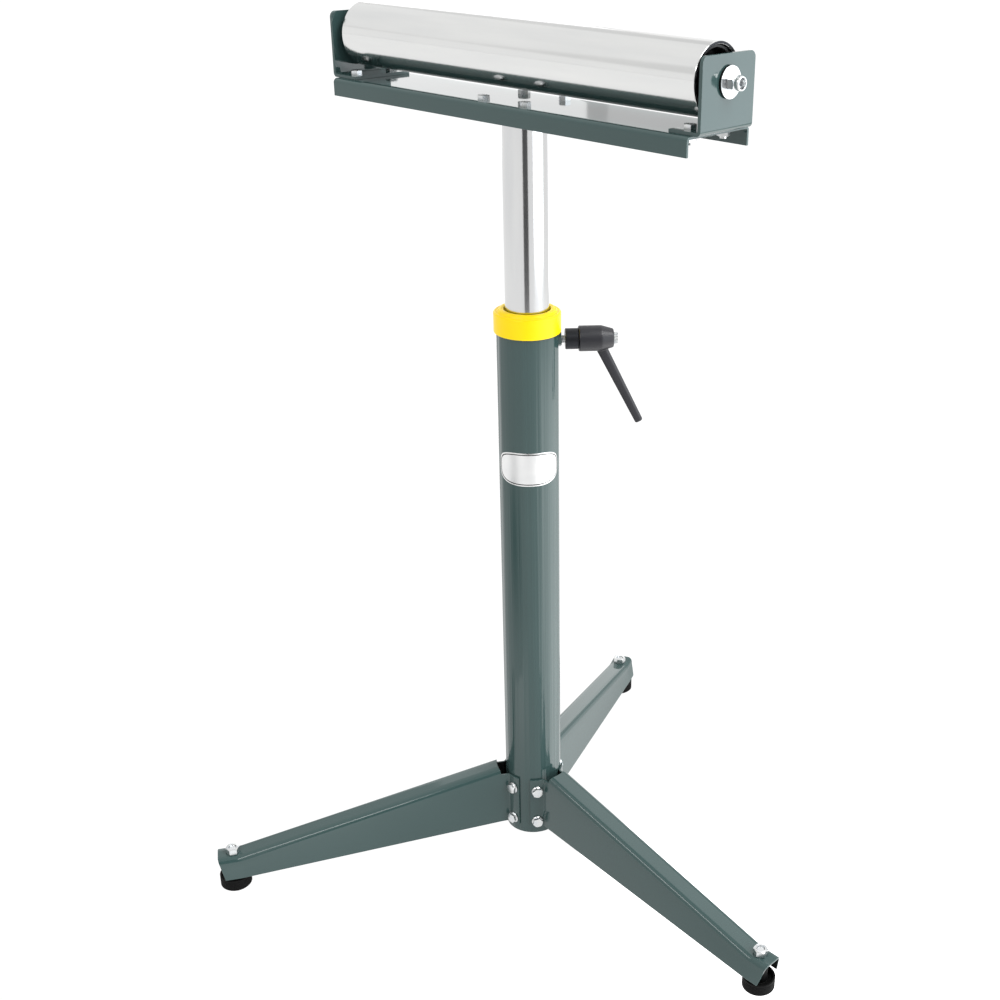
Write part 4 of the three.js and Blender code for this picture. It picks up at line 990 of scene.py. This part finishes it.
shape = bmesh.new()
rings = [plate_ring(0.0, PLATE_LOW_R)] + [plate_ring(i, PLATE_HIGH_R - (0.12 if i == 0 else 0)) for i in INSETS]
rings = [[shape.verts.new(p) for p in ring] for ring in rings]
for row, (ring, following) in enumerate(zip(rings, rings[1:])):
    for step in range(len(ring)):
        nxt = (step + 1) % len(ring)
        face = shape.faces.new((ring[step], ring[nxt], following[nxt], following[step]))
        face.material_index = 1 if row == 3 else 0
last = rings[-1]
for step in range(len(last) // 2 - 1):
    a, b = step, step + 1
    shape.faces.new((last[a], last[b], last[-b - 1], last[-a - 1]))
first = rings[0]
for step in range(len(first) // 2 - 1):
    a, b = step, step + 1
    shape.faces.new((first[b], first[a], first[-a - 1], first[-b - 1]))
bmesh.ops.recalc_face_normals(shape, faces=shape.faces)
blank_plate = finish_mesh(shape, "blank_foil_plate", foil)
blank_plate.data.materials.append(border_ink)
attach(blank_plate, "stand")
print("blank plate", PLATE_ARC, "by", PLATE_TALL, "mm")

# %% [markdown]
# ## Studio
# The stand is on a white light table in a white room, which is why hardly any shadow shows. Smaller panels stand
# behind the stand. A dark strip stands behind the camera, as a photographer does, and gives the post its dark line.
# The table's glow holds painted light and shade: a painted pool of light to the right of the stand, below a tall
# panel, a smaller painted pool of light just in front of the stand, and, hidden from the camera, a disc of painted
# shade on the table in front.

# %% Light table and cards
FLOOR_HALF = 30.0
# Painted pool of light: the table's emission rises towards the right of the stand and fades further out.
GLOW_HEADING, GLOW_EDGE, GLOW = (0.8, 0.6, 0.0), 0.5, 1.9
GLOW_END, GLOW_FADE, FLOOR_LIGHT = 1.2, 2.2, 0.98
# Painted pool of light: the table's emission is raised near this spot, just in front of the stand.
FILL_SPOT, FILL_REACH, FILL = (-0.03, -0.36, 0.0), 0.25, 0.7
# Painted shade on the table in front of the stand: centre, reach and lowest emission of the hidden disc.
SHADE_SPOT, SHADE_REACH, SHADE_LIGHT = (-0.27, -0.81, 0.002), 0.45, 0.12


def matt(name, shades):
    material, tree, shader, place = start_material(name, Roughness=0.9)
    mottle = add_node(tree, "ShaderNodeTexNoise", {"Vector": place, "Scale": 2.0})
    tone = add_node(tree, "ShaderNodeMix", {
        0: mottle.outputs[0], 6: linear(shades[0]), 7: linear(shades[1])}, data_type="RGBA")
    tree.links.new(tone.outputs[2], shader.inputs["Base Color"])
    return material, tree, shader, place


def card(name, spot, facing, size, material):
    shape = bmesh.new()
    place = Matrix.Translation(spot) @ Vector(facing).to_track_quat("Z", "Y").to_matrix().to_4x4()
    bmesh.ops.create_grid(shape, x_segments=1, y_segments=1, size=0.5,
                          matrix=place @ Matrix.Diagonal((size[0], size[1], 1, 1)))
    piece = finish_mesh(shape, name, material)
    piece.visible_camera = False
    print(name, size, "m")


table_white, tree, shader, place = matt("lit_table", ("#3C3C3C", "#404040"))
# Painted pool of light in the table's emission, brighter towards the right of the stand.
bearing = add_node(tree, "ShaderNodeVectorMath", {0: place}, operation="NORMALIZE")
facing = add_node(tree, "ShaderNodeVectorMath", {0: bearing.outputs[0], 1: GLOW_HEADING}, operation="DOT_PRODUCT")
glow = add_node(tree, "ShaderNodeMapRange", {
    "Value": facing.outputs["Value"], "From Min": GLOW_EDGE, "To Max": GLOW}, interpolation_type="SMOOTHSTEP")
away = add_node(tree, "ShaderNodeVectorMath", {0: place}, operation="LENGTH")
fade = add_node(tree, "ShaderNodeMapRange", {
    "Value": away.outputs["Value"], "From Min": GLOW_END, "From Max": GLOW_FADE, "To Min": 1.0, "To Max": 0.0},
    interpolation_type="SMOOTHSTEP")
# Painted pool of light in front of the stand.
near = add_node(tree, "ShaderNodeVectorMath", {0: place, 1: FILL_SPOT}, operation="DISTANCE")
fill = add_node(tree, "ShaderNodeMapRange", {
    "Value": near.outputs["Value"], "From Max": FILL_REACH, "To Min": FLOOR_LIGHT + FILL, "To Max": FLOOR_LIGHT},
    interpolation_type="SMOOTHSTEP")
lit = add_node(tree, "ShaderNodeMath", {
    0: glow.outputs[0], 1: fade.outputs[0], 2: fill.outputs[0]}, operation="MULTIPLY_ADD")
shader.inputs["Emission Color"].default_value = linear("#FFFFFF")
tree.links.new(lit.outputs[0], shader.inputs["Emission Strength"])
shape = bmesh.new()
bmesh.ops.create_grid(shape, x_segments=1, y_segments=1, size=FLOOR_HALF)
floor = finish_mesh(shape, "studio_floor", table_white)

# Painted shade: a disc hidden from the camera whose emission drops towards its middle, darkening the table in front.
painted_shade_disc, tree, shader, place = matt("painted_shade_disc", ("#3C3C3C", "#404040"))
near = add_node(tree, "ShaderNodeVectorMath", {0: place, 1: SHADE_SPOT}, operation="DISTANCE")
shade = add_node(tree, "ShaderNodeMapRange", {
    "Value": near.outputs["Value"], "From Max": SHADE_REACH, "To Min": SHADE_LIGHT, "To Max": FLOOR_LIGHT},
    interpolation_type="SMOOTHSTEP")
shader.inputs["Emission Color"].default_value = linear("#FFFFFF")
tree.links.new(shade.outputs[0], shader.inputs["Emission Strength"])
shape = bmesh.new()
bmesh.ops.create_circle(shape, cap_ends=True, segments=64, radius=SHADE_REACH, matrix=Matrix.Translation(SHADE_SPOT))
sheet = finish_mesh(shape, "painted_shade_disc", painted_shade_disc)
sheet.visible_camera = False
dark_cloth = matt("dark_cloth", ("#454545", "#4A4A4A"))[0]
card("photographer", (0.968, -1.044, 0.98), (-1, 1.035, 0), (0.64, 1.65), dark_cloth)

# %% Light


def panel(name, spot, target, size, radiance, colour):
    light = bpy.data.lights.new(name, "AREA")
    light.shape = "RECTANGLE"
    light.size, light.size_y = size
    light.energy = radiance * math.pi * size[0] * size[1]
    light.color = linear(colour)[:3]
    lamp = bpy.data.objects.new(name, light)
    heading = (Vector(target) - Vector(spot)).normalized()
    lamp.matrix_world = Matrix.Translation(spot) @ heading.to_track_quat("-Z", "Y").to_matrix().to_4x4()
    lamp.visible_camera = False
    bpy.context.scene.collection.objects.link(lamp)
    print(name, size, "m at radiance", radiance)


panel("right_panel", (1.974, 0.862, 0.95), (0, 0, 0.95), (2.38, 1.8), 2.4, "#F4FAFF")
panel("back_panel", (-1.86, 1.212, 1.0), (0, 0, 0.85), (1.16, 1.3), 0.85, "#FFFFFF")
panel("low_back_panel", (-1.12, 1.66, 0.35), (0, 0, 0.1), (0.9, 0.6), 1.0, "#FFFFFF")
panel("far_panel", (-1.016, 2.083, 1.24), (0, 0, 0.5), (1.24, 1.5), 0.25, "#FFFFFF")
panel("top_panel", (-0.32, 1.82, 3.0), (0, 0, 0.1), (1.6, 1.4), 1.1, "#FFFFFF")
panel("left_panel", (-1.75, -0.3, 2.6), (0, 0, 0.85), (3.2, 2.6), 0.19, "#FFFFFF")
panel("low_left_panel", (-1.8, -1.75, 1.15), (0, 0, 0.9), (1.7, 0.62), 0.2, "#FFFFFF")
panel("front_strip", (0.29, -1.65, 1.96), (0, 0, 0.1), (2.4, 0.35), 7.0, "#FFFFFF")
panel("key_panel", (1.42, 0.2, 2.6), (0, 0, 0.5), (1.2, 1.2), 11.0, "#FFFFFF")

world = bpy.data.worlds.new("studio_air")
bpy.context.scene.world = world
world.use_nodes = True
air = world.node_tree.nodes["Background"]
air.inputs["Color"].default_value = linear("#FFFFFF")
air.inputs["Strength"].default_value = 0.82
bpy.context.scene.view_settings.view_transform = "Standard"
print("lights ready")
